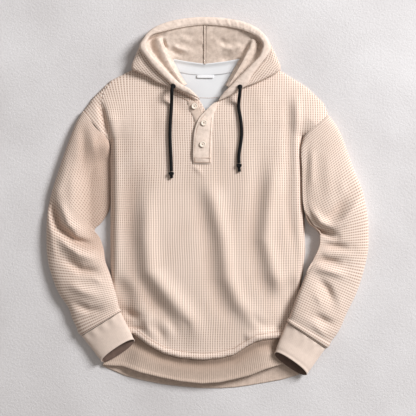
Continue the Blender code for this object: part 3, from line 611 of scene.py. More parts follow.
def front_panel():
    """The front: a waffle grid, its ribs upright, leaning outward over the left drop shoulder."""
    half = CELL / 2.0
    left = FAN_START - np.arange(60, 0, -1) * FAN_SQUEEZE * half
    cloth_x = np.arange(-110, 110) * half
    cloth_x = np.concatenate([left, cloth_x[(cloth_x > FAN_START - 0.5) & (cloth_x < 285)]])
    cloth_y = np.arange(-134, 123) * half
    index_x, index_y = np.arange(len(cloth_x)) - len(left), np.arange(len(cloth_y))
    lean_to = np.clip((FAN_START - cloth_x) / 105.0, 0.0, 0.62)
    now_x, now_y = cloth_x, np.full(len(cloth_x), cloth_y[0])
    lines = [(now_x, now_y)]
    for t in cloth_y[1:]:
        lean = lean_to * eased(climb(t, FAN_FLOOR, FAN_FLOOR + 120.0))
        now_x, now_y = now_x - np.sin(lean) * half, now_y + np.cos(lean) * half
        lines.append((now_x, now_y))
    x, y = np.array(lines).transpose(1, 0, 2)
    wander = 0.9 * np.sin(0.023 * y + 0.011 * x) + 0.6 * np.sin(0.051 * y - 0.017 * x + 1.7)
    x, y = x + wander, y + 0.8 * np.sin(0.019 * x + 0.031 * y + 0.6)
    places = np.stack([x, y, draped(x, y)], axis=2)
    places -= surface_normals(places) * waffle_depth(index_x, index_y, FRONT_RELIEF)[:, :, None]
    mesh = cloth_mesh("front", places, on_cloth(index_x * half, index_y * half))
    trim(mesh, (SHOULDER_LEFT[:3][::-1] + NECKLINE[1:-1] + SHOULDER_RIGHT + SIDE_RIGHT + HEM_SEAM[-2:0:-1]
                + SIDE_LEFT[::-1] + CAP_CREASE), draped)
    return mesh


def shoulder_cap():
    """The drop shoulder outside the crease under it: there the ribs run along the armhole seam."""
    start, seam = Vector(SIDE_LEFT[0]), Vector(SHOULDER_LEFT[-1])
    along = (seam - start).normalized()
    across = Vector((along.y, -along.x))
    index_x, index_y = np.arange(-4, 46), np.arange(-4, 60)
    flat = on_cloth(index_x * CELL / 2.0, index_y * CELL / 2.0)
    u, v = flat[:, :, 0], flat[:, :, 1]
    bent = 0.00096 * u * v
    x = start.x + across.x * u + along.x * v + bent
    y = start.y + across.y * u + along.y * v + bent
    places = np.stack([x, y, draped(x, y)], axis=2)
    places -= surface_normals(places) * waffle_depth(index_x, index_y, CAP_RELIEF)[:, :, None]
    mesh = cloth_mesh("shoulder_cap", places, flat)
    trim(mesh, SHOULDER_LEFT[2:] + (SIDE_LEFT[0],) + CAP_CREASE, draped)
    return mesh


def note_painted_shade(mesh, folds, full, more=None):
    """Marks how much painted shade each corner of the cloth gets: more the deeper it lies in the troughs of
    the folds, 1 at full mm, plus the painted shadow that more adds.
    """
    places = np.empty(len(mesh.vertices) * 3)
    mesh.vertices.foreach_get("co", places)
    x, y = places[0::3] / MM, places[1::3] / MM
    depth = -creased(x, y, folds) / full + (more(x, y) if more else 0.0)
    mesh.attributes.new("painted_shade", "FLOAT", "POINT").data.foreach_set("value", np.clip(depth, 0.0, 1.0))


front_mesh = front_panel()
joined = bmesh.new()
joined.from_mesh(front_mesh)
joined.from_mesh(shoulder_cap())
joined.to_mesh(front_mesh)
joined.free()
# Painted shade in the troughs of the front's folds and creases.
note_painted_shade(front_mesh, FRONT_FOLDS + FRONT_CREASES, 9.5)
front = finish_piece("front", front_mesh, waffle_finish, "front_panel")
thicken(front)

stitches("stitches_hem", [(x, y + 15.5) for x, y in HEM_SEAM[1:-1]], draped)
stitches("stitches_neck_1", ((-76, 248), (-48, 235.5), (-22, 221)), draped, 0.8)
stitches("stitches_neck_2", ((-80, 241), (-51, 229.0), (-27, 214.5)), draped, 0.7)
stitches("stitches_neck_3", ((28, 224), (50, 238.5), (74, 250)), draped)


def back_height(x, y):
    """The back's face lies flat, just over the table."""
    return np.full(np.shape(x), 2.0)


def back_panel():
    """The back, flat on the table, its ribs showing only as relief in the finish."""
    flat = on_cloth(np.arange(-56, 55) * CELL, np.arange(-68, 63) * CELL)
    x, y = flat[:, :, 0], flat[:, :, 1]
    mesh = cloth_mesh("back", np.stack([x, y, back_height(x, y)], axis=2), flat)
    hem = tuple(map(tuple, even_steps(BACK_HEM_SEAM, 25, bunch=0.6)[-2:0:-1]))
    trim(mesh, SHOULDER_LEFT[::-1] + BACK_NECK[1:-1] + SHOULDER_RIGHT + SIDE_RIGHT + hem + SIDE_LEFT[::-1],
         back_height)
    return mesh


relief_finish, tree, shader = new_material("waffle_knit_flat", 0.95)
pattern, yarn = use_group(tree, cells), use_group(tree, cotton)
# Colour: painted shade darker in the grooves between the lighter ribs and in the pits, then light yarn
# flecks.
layered(tree, shader, (0.60, 0.44, 0.335),
        (pattern["Rib"], (0.78, 0.63, 0.50)),
        (ramp(tree, pattern["Pit"], 0.0, 0.85, 0.2, 0.9), (0.36, 0.225, 0.145)),
        (ramp(tree, yarn["Fleck"], 0.0, 0.30, 0.45, 0.75), (0.86, 0.74, 0.62)))
bump(tree, shader, pattern["Height"], 0.9, 0.0011)

back = finish_piece("back", back_panel(), relief_finish, "back_panel")
thicken(back, 2.0)

# ---------------------------------------------------------------------------------------------
# Sleeves.  Wide drop sleeves of the same waffle, each a soft tube folded down beside the body,
# with its bolder ribs round the arm and its lower end on the front's corner.
SLEEVE_LEFT = (         # outer_x, outer_y, inner_x, inner_y, height, inner_base
    (-274.8, 202.3, -218.2, 136.0, 23, 0), (-291, 174, -218.5, 108, 27, 0),
    (-310, 125, -218.5, 70, 30, 0), (-330, 66, -219, 28, 31, 0), (-346, 14, -220, -10, 30, 0),
    (-353, -22, -234, -42, 29, 0), (-355, -55, -249, -60, 28, 0), (-355, -85, -237, -78, 29, 0),
    (-353, -118, -228, -105, 30, 0), (-345, -155, -224, -130, 30, 2), (-329, -197, -213, -158, 29, 9),
    (-306, -232, -203, -190, 29, 13), (-297, -258, -196, -216, 28, 13), (-278, -293, -192, -239, 25, 13))
SLEEVE_RIGHT = (        # outer_x, outer_y, inner_x, inner_y, height, inner_base
    (268.7, 193.2, 212.4, 145.6, 23, 0), (290, 163, 214, 112, 27, 0), (308, 118, 216.5, 72, 30, 0),
    (326, 68, 217, 28, 31, 0), (342, 30, 219, -5, 30, 0), (353, -22, 228, -43, 29, 0),
    (356, -58, 248, -66, 28, 0), (356, -90, 247, -93, 29, 0), (352, -122, 234, -123, 30, 0),
    (340, -168, 220, -148, 30, 3), (326, -207, 208, -178, 29, 10), (308, -243, 194, -212, 30, 14),
    (290, -283, 183, -243, 31, 14), (262, -321, 176, -262, 25, 14))
SLEEVE_FOLDS_LEFT = (   # line, half_width, height
    (((-273, 182), (-271, 116), (-269, 50)), 10, -4),
    (((-346, 12), (-328, -51), (-293, -84), (-236, -96)), 9.5, -18),
    (((-328, 14), (-302, -48), (-255, -69)), 11, 8),
    (((-330, -70), (-280, -112), (-232, -126)), 12, 12),
    (((-320, -118), (-276, -148), (-226, -154)), 9, -9),
    (((-315, -172), (-271, -194), (-226, -205)), 11, 7),
    (((-304, -216), (-258, -236), (-216, -233)), 9, -7))
SLEEVE_FOLDS_RIGHT = (  # line, half_width, height
    (((206, -12), (232, -56), (282, -76)), 7, -25),
    (((256, -72), (296, -42), (327, -7), (346, 20)), 11, 11),
    (((246, -54), (284, -20), (316, 20)), 11, -8),
    (((238, -91), (274, -95), (316, -100)), 8, -10),
    (((226, -116), (262, -128), (302, -132)), 8, -10),
    (((228, -140), (270, -150), (312, -161)), 9, 8),
    (((238, -163), (262, -188), (279, -226)), 9, -10),
    (((228, -242), (260, -260), (284, -268)), 8, -9))
MORE_FOLDS_LEFT = (     # line, half_width, height: finer ones, in the cloth alone
    (((-300, 110), (-322, 40), (-335, 0)), 10, 3), (((-292, -262), (-268, -252), (-240, -246)), 6, -3),
    (((-345, -40), (-340, -90), (-330, -130)), 8, 3), (((-262, -160), (-240, -168), (-226, -180)), 6, 4),
    (((-252, 160), (-246, 100), (-240, 40)), 8, 3))
MORE_FOLDS_RIGHT = (    # line, half_width, height: finer ones, in the cloth alone
    (((262, 125), (264, 60), (268, -15)), 12, 1.6), (((247, 110), (248, 50), (252, -10)), 12, -1.0),
    (((230, 125), (228, 30)), 7, 3), (((292, 60), (300, 10)), 9, 3),
    (((230, -192), (244, -212), (252, -231)), 7, 4), (((286, -110), (316, -114)), 7, 4),
    (((300, -195), (286, -226), (268, -240)), 9, 4), (((226, -262), (250, -282), (270, -296)), 6, 3),
    (((222, -8), (248, -42), (284, -56)), 9, 11))
SINK_LINE = ((-218, 52), (-216, -44))       # where the left sleeve goes under the body's side
SHADE_LINE = ((-216, 110), (-216, -70))     # and where a painted shadow of the body darkens it
LEAN_LINE = ((215, 112), (216, 0), (230, -50), (244, -70), (240, -100), (222, -146))
LEAN_HEIGHT = 25.0      # of the right sleeve's inner edge, along the line above
SLEEVE_RELIEF = (1.9, 0.646, 0.304)
SLEEVE_AROUND = 100     # half cells round a sleeve
CUFF_ROLL = 3.4         # how far the cloth swells just above the cuff


def smooth_rows(table, count):
    """A smooth curve through the table's rows, read at count even places."""
    rows = np.array(table, dtype=float)
    last = len(rows) - 1
    out = []
    for place in np.linspace(0.0, last, count):
        i = min(int(place), last - 1)
        t = place - i
        a, b = rows[max(i - 1, 0)], rows[i]
        c, d = rows[i + 1], rows[min(i + 2, last)]
        bend = (2 * a - 5 * b + 4 * c - d) * t ** 2 + (3 * b - a - 3 * c + d) * t ** 3
        out.append(np.clip(b + 0.5 * ((c - a) * t + bend), np.minimum(b, c), np.maximum(b, c)))
    return np.array(out)


def rows_by_length(table, step, ends):
    """The table's curve read every step mm along its middle line; ends are the two columns that carry it."""
    fine = smooth_rows(table, 400)
    middle = (fine[:, ends[0]:ends[0] + 2] + fine[:, ends[1]:ends[1] + 2]) / 2
    length = lengths_along(middle)
    count = 2 * max(2, int(round(length[-1] / step / 2))) + 1
    at = np.linspace(0.0, length[-1], count)
    return np.stack([np.interp(at, length, fine[:, k]) for k in range(fine.shape[1])], axis=1), at


def ring_round(outer, inner, outer_base, inner_base, height, around, bow=0.0, flatness=0.8):
    """An even ring of cloth pressed flat below: an ellipse cut off by what it lies on.  Each place
    has its x, y and z, and 1 at the ring's top, 0 at its edges and -1 below."""
    outer, inner = np.array(outer), np.array(inner)
    middle, half = (outer + inner) / 2, (inner - outer) / 2
    ahead = np.array((half[1], -half[0])) / np.linalg.norm(half)
    turn = np.linspace(0.0, 2 * math.pi, 145)
    across = np.sign(np.cos(turn)) * np.abs(np.cos(turn)) ** 0.86
    rise = np.sign(np.sin(turn)) * np.abs(np.sin(turn)) ** flatness
    base = outer_base + (inner_base - outer_base) * (across + 1) / 2
    flat = middle + np.outer(across, half) - np.outer(bow * np.sin(turn), ahead)
    ring = np.column_stack([flat, base + np.maximum(0.0, height * (0.34 + 0.66 * rise)), np.sin(turn)])
    length = lengths_along(ring[:, :3])
    at = np.linspace(0.0, length[-1], around + 1)
    return np.stack([np.interp(at, length, ring[:, k]) for k in range(4)], axis=1)


def tube_normals(places):
    """Outward directions of a closed tube whose first and last columns meet."""
    wrapped = np.concatenate([places[:, -2:-1], places, places[:, 1:2]], axis=1)
    across = (wrapped[:, 2:] - wrapped[:, :-2]) / 2
    normals = np.cross(across, np.gradient(places, axis=0))
    normals /= np.maximum(np.linalg.norm(normals, axis=2, keepdims=True), 1e-9)
    middle = places.mean(axis=1, keepdims=True)
    if (normals * (places - middle)).sum() < 0:
        normals = -normals
    return normals


def shaded_by_body(x, y):
    """How much painted shade the left sleeve gets beside the body's side, as a painted shadow of the body."""
    return 1.4 * hump(nearest(x, y, SHADE_LINE), 66.0)


def beside_body(x, y, height):
    """A sleeve's height beside the body: the left one sinks under its side, the right one leans on it."""
    sunk = height * (0.26 + 0.74 * eased(climb(nearest(x, y, SINK_LINE), 38.0, 84.0)))
    leaning = hump(nearest(x, y, LEAN_LINE), 26.0) * climb(height, 2.7, 11.7)
    return sunk + leaning * np.maximum(0.0, LEAN_HEIGHT - sunk)


def slant(rows, slide):
    """Slides each row's outer end back and its inner end on along the sleeve's edges by slide mm."""
    for first, way in ((0, -1.0), (2, 1.0)):
        edge = rows[:, first:first + 2].copy()
        length = lengths_along(edge)
        for k in (0, 1):
            rows[:, first + k] = np.interp(length + way * slide, length, edge[:, k])


def sleeve(name, table, folds, shift, flatness, slides):
    """A sleeve's tube, its inner edge moved shift mm in x beside the body, its ribs slanted by slides mm."""
    rows, at = rows_by_length(table, CELL / 2, (0, 2))
    inner_y = rows[:, 3]
    rows[:, 2] += shift * climb(inner_y, -60.0, -20.0) * climb(inner_y, 150.0, 120.0)
    way = at / at[-1]
    slant(rows, slides[0] * np.sin(math.pi * way) + slides[1] * np.sin(2 * math.pi * way))
    rings = np.array([ring_round(row[0:2], row[2:4], 0.0, max(row[5], 0), row[4], SLEEVE_AROUND,
                                 flatness=flatness) for row in rows])
    places, tops = rings[:, :, :3].copy(), np.maximum(0.0, rings[:, :, 3])
    places[:, :, 2] += creased(places[:, :, 0], places[:, :, 1], folds) * np.sqrt(tops)
    places[:, :, 2] = beside_body(places[:, :, 0], places[:, :, 1], places[:, :, 2])
    index_round, index_down = np.arange(SLEEVE_AROUND + 1), np.arange(len(rows))
    deep = waffle_depth(index_round, index_down, SLEEVE_RELIEF)
    deep[:, -1] = deep[:, 0]
    from_cuff = (at[-1] - at)[:, None]
    deep = deep - CUFF_ROLL * hump(from_cuff - 6.0, 5.0) * climb(from_cuff, 0.0, 1.5)
    places -= tube_normals(places) * deep[:, :, None]
    places[:, :, 2] = np.maximum(places[:, :, 2], np.clip(12.0 * tops, 0.0, 2.8))
    mesh = cloth_mesh(name, places, on_cloth(index_round, index_down)[:, :, ::-1] * CELL / 2)
    weld(mesh, outward=True)
    # Painted shade in the sleeve's fold troughs and, beside the body's side, a painted shadow of the body.
    note_painted_shade(mesh, folds, 18.0, shaded_by_body)
    return mesh


for name, table, folds, shift, flatness, slides in (
        ("left", SLEEVE_LEFT, SLEEVE_FOLDS_LEFT + MORE_FOLDS_LEFT, 5.0, 0.80, (40.0, 8.0)),
        ("right", SLEEVE_RIGHT, SLEEVE_FOLDS_RIGHT + MORE_FOLDS_RIGHT, -8.0, 0.56, (6.0, 17.0))):
    arm_mesh = sleeve("sleeve_" + name, table, folds, shift, flatness, slides)
    arm = finish_piece("sleeve_" + name + "_cloth", arm_mesh, waffle_finish, "sleeve_" + name)
    thicken(arm)

# ---------------------------------------------------------------------------------------------
# Cuffs.  Short double bands of fine-ribbed jersey; their mouths are open toward the hem and show
# the inside, coloured near black as painted shade.
CUFF_LEFT = (           # outer_x, outer_y, inner_x, inner_y, height, outer_base, inner_base
    (-277.6, -294.0, -191.4, -240.0, 24.2, 0, 13), (-255, -321, -175, -271, 20, 5, 13),
    (-233, -350, -160, -301, 19, 9, 13))
CUFF_RIGHT = (          # outer_x, outer_y, inner_x, inner_y, height, outer_base, inner_base
    (261.3, -321.9, 175.5, -263.0, 24.2, 0, 14), (240, -350, 160, -298, 20, 5, 14),
    (219, -379, 148, -329, 20, 9, 14))
MOUTH_BOW = 9.0

# Fine rib, 4.2 mm between ribs, in the cut cloth's lengthwise direction.
fine_rib, rib_out = new_group("fine_rib", ("Rib",))
fine_rib.links.new(cloth_wave(fine_rib, "X", 4.2), rib_out.inputs["Rib"])


def scaled(color, *shares):
    """A colour times a share, or times one share for each of red, green and blue."""
    return tuple(min(1.0, c * share) for c, share in zip(color, shares if len(shares) == 3 else shares * 3))


def jersey(name, light, dark, rib_depth, mottled=0.55):
    """Plain knit, a little mottled, with fine ribs where rib_depth is above 0; painted shade darkens the
    grooves between those ribs and the corners that the mesh marks for it.
    """
    finish, tree, shader = new_material(name, 0.93)
    yarn, rib = use_group(tree, cotton), use_group(tree, fine_rib)["Rib"]
    painted_shade = node(tree, "ShaderNodeAttribute", attribute_name="painted_shade").outputs["Fac"]
    # Random dye and mottling, light yarn flecks, then painted shade where the mesh marks it.
    layers = [(ramp(tree, yarn["Dye"], 0.0, 0.7, 0.3, 0.72), dark),
              (ramp(tree, noise(tree, 130.0, 4.0), mottled, 0.0, 0.3, 0.62), scaled(dark, 0.72)),
              (ramp(tree, yarn["Fleck"], 0.0, 0.35, 0.42, 0.75), scaled(light, 1.16)),
              (ramp(tree, painted_shade, 0.0, 0.8), scaled(dark, 0.66, 0.58, 0.52))]
    fuzz = bump(tree, shader, yarn["Fuzz"], 0.45, 0.0005)
    if rib_depth:
        # Painted shade in the grooves between the fine ribs.
        layers.append((ramp(tree, rib, 0.6 * rib_depth, 0.0), scaled(dark, 0.62)))
        ribbed = bump(tree, shader, rib, rib_depth, 0.0007)
        tree.links.new(fuzz.outputs["Normal"], ribbed.inputs["Normal"])
    layered(tree, shader, light, *layers)
    soft_sheen(shader)
    return finish


cuff_finish = jersey("cuff_rib", (0.75, 0.615, 0.525), (0.68, 0.545, 0.46), 0.13, 0.22)
# The cuffs' inner face: the same jersey coloured near black, painted shade for the dark inside of the tube.
cuff_inside_painted_shade = jersey("cuff_inside_painted_shade", (0.16, 0.10, 0.075), (0.10, 0.06, 0.045), 0.0)


def cuff(name, table, side, around=110):
    """A cuff's tube, gathered where it is sewn to the sleeve, with a stitch line near its bowed mouth."""
    rows, at = rows_by_length(table, 2.6, (0, 2))
    t = np.linspace(0.0, 1.0, len(rows))
    places = np.array([ring_round(row[0:2], row[2:4], row[5], row[6], row[4], around, bow)[:, :3]
                       for row, bow in zip(rows, side * MOUTH_BOW * t ** 1.5)])
    t = t[:, None]
    gather = 1.1 * np.sin(np.linspace(0.0, 1.0, around + 1)[None, :] * 18 * math.pi + 1.0) * hump(t, 0.22)
    outward = (gather - 0.9 * hump(t - 0.9, 0.06)) * (1 - np.exp(-t / 0.05))
    places += tube_normals(places) * outward[:, :, None]
    places[:, :, 2] = np.maximum(places[:, :, 2], 0.0)
    mesh = cloth_mesh(name, places, on_cloth(np.arange(around + 1) * 2.0, at))
    weld(mesh, outward=True)
    return mesh


for name, table, side in (("left", CUFF_LEFT, 1), ("right", CUFF_RIGHT, -1)):
    band = finish_piece("cuff_" + name + "_cloth", cuff("cuff_" + name, table, side),
                        cuff_finish, "cuff_" + name)
    thicken(band, 1.8, cuff_inside_painted_shade)

# ---------------------------------------------------------------------------------------------
# Hem band.  One wide band of the same fine rib all round the body, folded double; its back edge
# lies a little lower than the front one, so a crescent of its inside shows below.
HEM_BACK_EDGE = ((-232, -361), (-181, -383), (-140, -393), (-100, -401), (-58, -406), (-12, -410),
                 (30, -410), (62, -408), (92, -404), (127, -398), (166, -391), (204, -380))
# The band's rib is coloured darker than the cuffs' rib of the same cloth: painted shade over the whole band.
hem_finish = jersey("hem_rib", (0.61, 0.475, 0.385), (0.50, 0.38, 0.305), 0.6, 0.3)
hem_inside = jersey("hem_inside", (0.66, 0.52, 0.43), (0.58, 0.45, 0.365), 0.2)


def shaded_by_roll(x, y):
    """How much painted shade the band gets under the roll over its seam, as a painted shadow of the roll."""
    return 1.15 * hump(nearest(x, y, HEM_SEAM), 26.0)


def hem_band(columns=150, rows=27):
    """A flat tube from the hem seam to the hem's edge: its front dips below the seam, its back is flat."""
    gap = np.array((0.0, 0.9))
    front_top, back_top = (even_steps(line, columns, 0.6) - gap for line in (HEM_SEAM, BACK_HEM_SEAM))
    front_edge, back_edge = (even_steps(line, columns, 0.6) for line in (HEM_FRONT_EDGE, HEM_BACK_EDGE))
    places = []
    for t in np.linspace(0.0, 1.0, rows):
        front_line = front_top + (front_edge - front_top) * t
        dip = (5.0 + 3.0 * hump(front_line[:, 0] - 140.0, 60.0)) * hump(t - 0.22, 0.17)
        lift = front_height(front_line[:, 0], front_line[:, 1]) - dip - 0.8 * hump(t - 0.86, 0.03)
        lift = np.maximum(lift, FRONT_BASE) + 2.5 * hump(t - 0.95, 0.1)
        back_line = back_top + (back_edge - back_top) * t
        ring = np.concatenate([np.column_stack([front_line, lift]),
                               np.column_stack([back_line, np.zeros(columns)])[::-1]])
        places.append(np.concatenate([ring, ring[:1]]))
    places = np.array(places)
    across = np.concatenate([places[rows // 2, :columns, 0], -places[rows // 2, columns:, 0]])
    mesh = cloth_mesh("hem_band_cloth", places, on_cloth(across, np.linspace(0.0, 60.0, rows)))
    weld(mesh, outward=True)
    # Painted shadow of the roll on the band, below the hem seam.
    note_painted_shade(mesh, (), 1.0, shaded_by_roll)
    return mesh


hem = finish_piece("hem_band_cloth", hem_band(), hem_finish, "hem_band")
thicken(hem, 1.8, hem_inside)

# ---------------------------------------------------------------------------------------------
# Hood.  Two waffle halves folded over at the sides and tucked under to the back neck; only their
# wings show between the casing and the lower edge.
HOOD_LEFT = (           # seam_x, seam_y, fold_x, fold_y, neck_x, neck_y, seam_z, fold_z, under_z, neck_z
    (-72, 250, -84, 255, -77, 259, 24, 20.4, 17.4, 17), (-91, 273, -110, 264, -97, 272, 26, 20.4, 16.2, 16.5),
    (-105, 284, -128, 276, -108, 285, 27, 21, 15, 15.5), (-116, 297, -150, 286, -116, 296, 28, 20, 14.5, 15),
    (-124, 306, -166, 294, -118, 306, 28, 18, 12, 12.5), (-132, 317, -167, 304, -110.5, 312.6, 28, 16, 6, 6),
    (-138, 329, -160, 321, -99, 314.7, 28, 14, 2, 0), (-143, 341, -151, 341, -93, 315.3, 28, 15, 2, 0),
    (-137, 355, -142, 356, -82, 316.4, 28, 15, 2, 0), (-126, 371, -131, 375, -66, 313.3, 28, 15, 2, 0),
    (-107, 384, -111, 389, -50, 310.4, 28, 15, 2, 0), (-75, 395, -77, 400, -34, 307.8, 27, 14, 2, 0),
    (-40, 401, -40, 407, -20, 305.6, 26, 13, 2, 0), (-6.2, 403, -6.2, 409, -6.2, 303.5, 26, 13, 2, 0))
HOOD_RIGHT = (          # seam_x, seam_y, fold_x, fold_y, neck_x, neck_y, seam_z, fold_z, under_z, neck_z
    (66, 247, 80, 254, 72, 258, 24, 21, 17.4, 17), (86, 262, 104, 262, 92, 270, 26, 21, 16.2, 16.5),
    (97, 280, 124, 271, 104, 281, 27, 21, 15, 15.5), (108, 292, 144, 281, 110, 292, 28, 20, 14.5, 15),
    (116, 303, 161, 292, 112, 304, 28, 18, 12, 12.5), (126, 314, 162, 301, 105.5, 311.2, 28, 16, 6, 6),
    (131, 328, 156, 316, 95, 312.7, 28, 14, 2, 0), (135, 341, 145, 338, 89, 314.3, 28, 15, 2, 0),
    (131, 354, 136, 356, 80, 316.4, 28, 15, 2, 0), (118, 370, 122, 375, 60, 313.0, 28, 15, 2, 0),
    (99, 384, 103, 389, 44, 310.4, 28, 15, 2, 0), (69, 395, 70, 401, 26, 307.8, 27, 14, 2, 0),
    (32, 401, 32, 407, 8, 305.4, 26, 13, 2, 0), (-5.8, 403, -5.8, 409, -5.8, 303.5, 26, 13, 2, 0))


HOOD_RELIEF = (0.55, 0.044, 0.198)


def blend(a, b, t):
    """From a, where t is 0, to b, where it is 1."""
    return a + (b - a) * t


def face_up(mesh, above=-1.0):
    """Turns a sheet's faces over if those above this height, in metres, look down on the whole."""
    if sum(face.normal.z * face.area for face in mesh.polygons if face.center.z > above) < 0:
        mesh.flip_normals()


def hood_half(name, table):
    """One hood half: rows along the casing seam, each from the seam over the fold to the neck."""
    rows, at = rows_by_length(table, CELL / 2, (0, 0))
    index_across, index_along = np.arange(int(150 / (CELL / 2))), np.arange(len(rows))
    across = index_across * CELL / 2
    places = np.zeros((len(rows), len(across), 3))
    for i, line in enumerate(rows):
        seam, fold, neck = line[0:2], line[2:4], line[4:6]
        seam_z, fold_z, under_z, neck_z = line[6:]
        inward = (neck - fold) / np.linalg.norm(neck - fold)
        tuck = fold + inward * 4.5
        profile = np.array([(*seam, seam_z - 1.0), (*blend(seam, fold, 0.5), seam_z - 0.6),
                            (*blend(seam, fold, 0.92), blend(seam_z - 0.6, fold_z, 0.35)), (*fold, fold_z),
                            (*(fold + inward * 0.8), blend(fold_z, under_z, 0.6)), (*tuck, under_z),
                            (*blend(tuck, neck, 0.45), blend(under_z, neck_z, 0.9)), (*neck, neck_z)])
        length = lengths_along(profile)
        for k in range(3):
            places[i, :, k] = np.interp(across, length, profile[:, k])
    normals = surface_normals(places)
    if normals[:, 1, 2].sum() < 0:
        normals = -normals
    places -= normals * waffle_depth(index_across, index_along, HOOD_RELIEF)[:, :, None]
    places[:, :, 2] = np.maximum(places[:, :, 2], 1.2)
    mesh = cloth_mesh(name, places, on_cloth(across, at))
    weld(mesh, gap=0.0003)
    face_up(mesh, above=0.018)
    return mesh


for name, table in (("left", HOOD_LEFT), ("right", HOOD_RIGHT)):
    shell = finish_piece("hood_" + name + "_cloth", hood_half("hood_" + name, table), waffle_finish,
                         "hood_outer_" + name)
    thicken(shell, 1.1)

# ---------------------------------------------------------------------------------------------
# Casing.  The jersey tunnel round the hood's opening; the cord inside gathers it a little, so small
# slanting puckers cross it, and a stitch line holds its inner edge.
CASING = (              # in_x, in_y, out_x, out_y, base, crown
    (-14, 231, -19, 225, 23, 30), (-35, 248, -38, 236, 24, 33), (-63, 265, -68, 250, 25, 33),
    (-86, 288, -93, 272, 28, 36), (-106, 307, -118, 296, 30, 39), (-122, 324, -134, 317, 31, 39),
    (-132, 341, -149, 340, 31, 39), (-129, 358, -142, 357, 31, 38), (-118, 368, -129, 374, 31, 37),
    (-92, 375, -108, 388, 31, 35.5), (-66, 381, -76, 399, 30, 34.5), (-36, 386, -40, 405, 29, 33.5),
    (-6, 389, -6, 407, 29, 33.5), (34, 386, 32, 405, 29, 33.5), (68, 380, 70, 399, 30, 34.5),
    (94, 371, 101, 387, 31, 35.5), (112, 360, 121, 373, 31, 37), (121, 346, 134, 356, 31, 38),
    (118, 333, 139, 341, 31, 39), (112, 319, 134, 326, 31, 39), (99, 306, 117, 303, 30, 38),
    (83, 290, 99, 279, 28, 36), (62, 269, 87, 259, 26, 34), (41, 247, 62, 241, 24, 31),
    (20, 230, 31, 221, 22, 28))
CASING_ROUND = (        # share of the way across, share of the height
    (0.0, 0.0), (0.03, 0.48), (0.08, 0.82), (0.18, 0.96), (0.42, 1.0), (0.62, 0.97), (0.8, 0.84),
    (0.92, 0.58), (1.0, 0.22))
casing_finish = jersey("casing_jersey", (0.827, 0.684, 0.588), (0.7, 0.562, 0.472), 0.0)


def casing(columns=19):
    """The tunnel: a rounded strip that narrows to nothing at its ends, puckered along its length."""
    rows, at = rows_by_length(CASING, 2.0, (0, 2))
    share = np.linspace(0.0, 1.0, columns)
    bulge = np.interp(share, *zip(*CASING_ROUND))
    places = np.zeros((len(rows), columns, 3))
    full = np.clip(np.minimum(at, at[-1] - at) / 26.0, 0.04, 1.0) ** 0.6
    for i, (in_x, in_y, out_x, out_y, base, crown) in enumerate(rows):
        kept = 0.5 + (share - 0.5) * full[i]
        places[i, :, 0] = blend(in_x, out_x, kept)
        places[i, :, 1] = blend(in_y, out_y, kept)
        places[i, :, 2] = base + (crown - base) * bulge * full[i]
    down = at[:, None]
    slanting = down + share[None, :] * 6.0
    pucker = 0.30 * np.sin(slanting * 0.36 + 2.6 * np.sin(down * 0.021))
    pucker += 0.22 * np.sin(slanting * 0.71 + 1.3 + 2.5 * np.sin(down * 0.043))
    pucker *= (0.5 + hump(down - 0.62 * at[-1], 60.0)) * full[:, None]
    stitched = -0.9 * hump(share - 0.14, 0.05) - 0.6 * hump(share - 0.93, 0.05)
    places[:, :, 2] += pucker * (np.sin(math.pi * share) ** 0.7)[None, :] + stitched[None, :]
    mesh = cloth_mesh("hood_casing_cloth", places, on_cloth(share * 22.0, at))
    face_up(mesh)
    return mesh


tunnel = finish_piece("hood_casing_cloth", casing(), casing_finish, "hood_casing")
thicken(tunnel, 1.5)

# ---------------------------------------------------------------------------------------------
# Hood lining.  Plain jersey inside the hood, sunk to the neck tape, with a soft standing pleat on
# each side and a taped centre seam.
LINING_LEFT = (  # edge_x, edge_y, crest_x, crest_y, foot_x, foot_y, edge_z, valley_z, crest_z, slope_z
    (-54, 254, -50, 258, -44, 262, 21, 20, 20, 17), (-68, 265, -60, 271, -53, 274, 23, 21, 23, 16),
    (-89, 286, -73, 291, -64, 294, 26, 21, 26, 14), (-109, 306, -86, 314, -75, 316, 28, 20, 28, 13),
    (-125, 322, -93, 332, -68, 315, 29, 18, 30, 14), (-136, 341, -100, 350, -60, 314, 29, 15, 31, 16),
    (-132, 359, -104, 362, -52, 312, 29, 15, 29, 17), (-94, 377, -84, 361, -42, 310.5, 29, 26, 23, 16),
    (-67, 383, -58, 360, -32, 308.8, 29, 27, 23, 15), (-37, 389, -32, 358, -20, 307, 29, 27, 22, 14),
    (-9, 392, -9, 356, -9, 305.4, 29, 27, 21, 13))
LINING_RIGHT = (  # edge_x, edge_y, crest_x, crest_y, foot_x, foot_y, edge_z, valley_z, crest_z, slope_z
    (50, 250, 45, 255, 39, 260, 21, 20, 20, 17), (66, 267, 55, 272, 48, 275, 23, 21, 23, 16),
    (86, 289, 68, 294, 59, 296, 26, 21, 26, 14), (101, 305, 81, 318, 70, 317, 28, 20, 28, 13),
    (114, 318, 87, 332, 63, 316, 29, 18, 30, 14), (122, 333, 95, 348, 55, 314.5, 29, 15, 31, 16),
    (125, 346, 99, 361, 47, 313, 29, 15, 29, 17), (96, 374, 80, 360, 36, 310.8, 29, 26, 23, 16),
    (69, 383, 55, 360, 24, 308.6, 29, 27, 23, 15), (35, 389, 26, 358, 11, 306.6, 29, 27, 22, 14),
    (-3, 392, -3, 356, -3, 305.4, 29, 27, 21, 13))
LINING_FOOT = 7.5
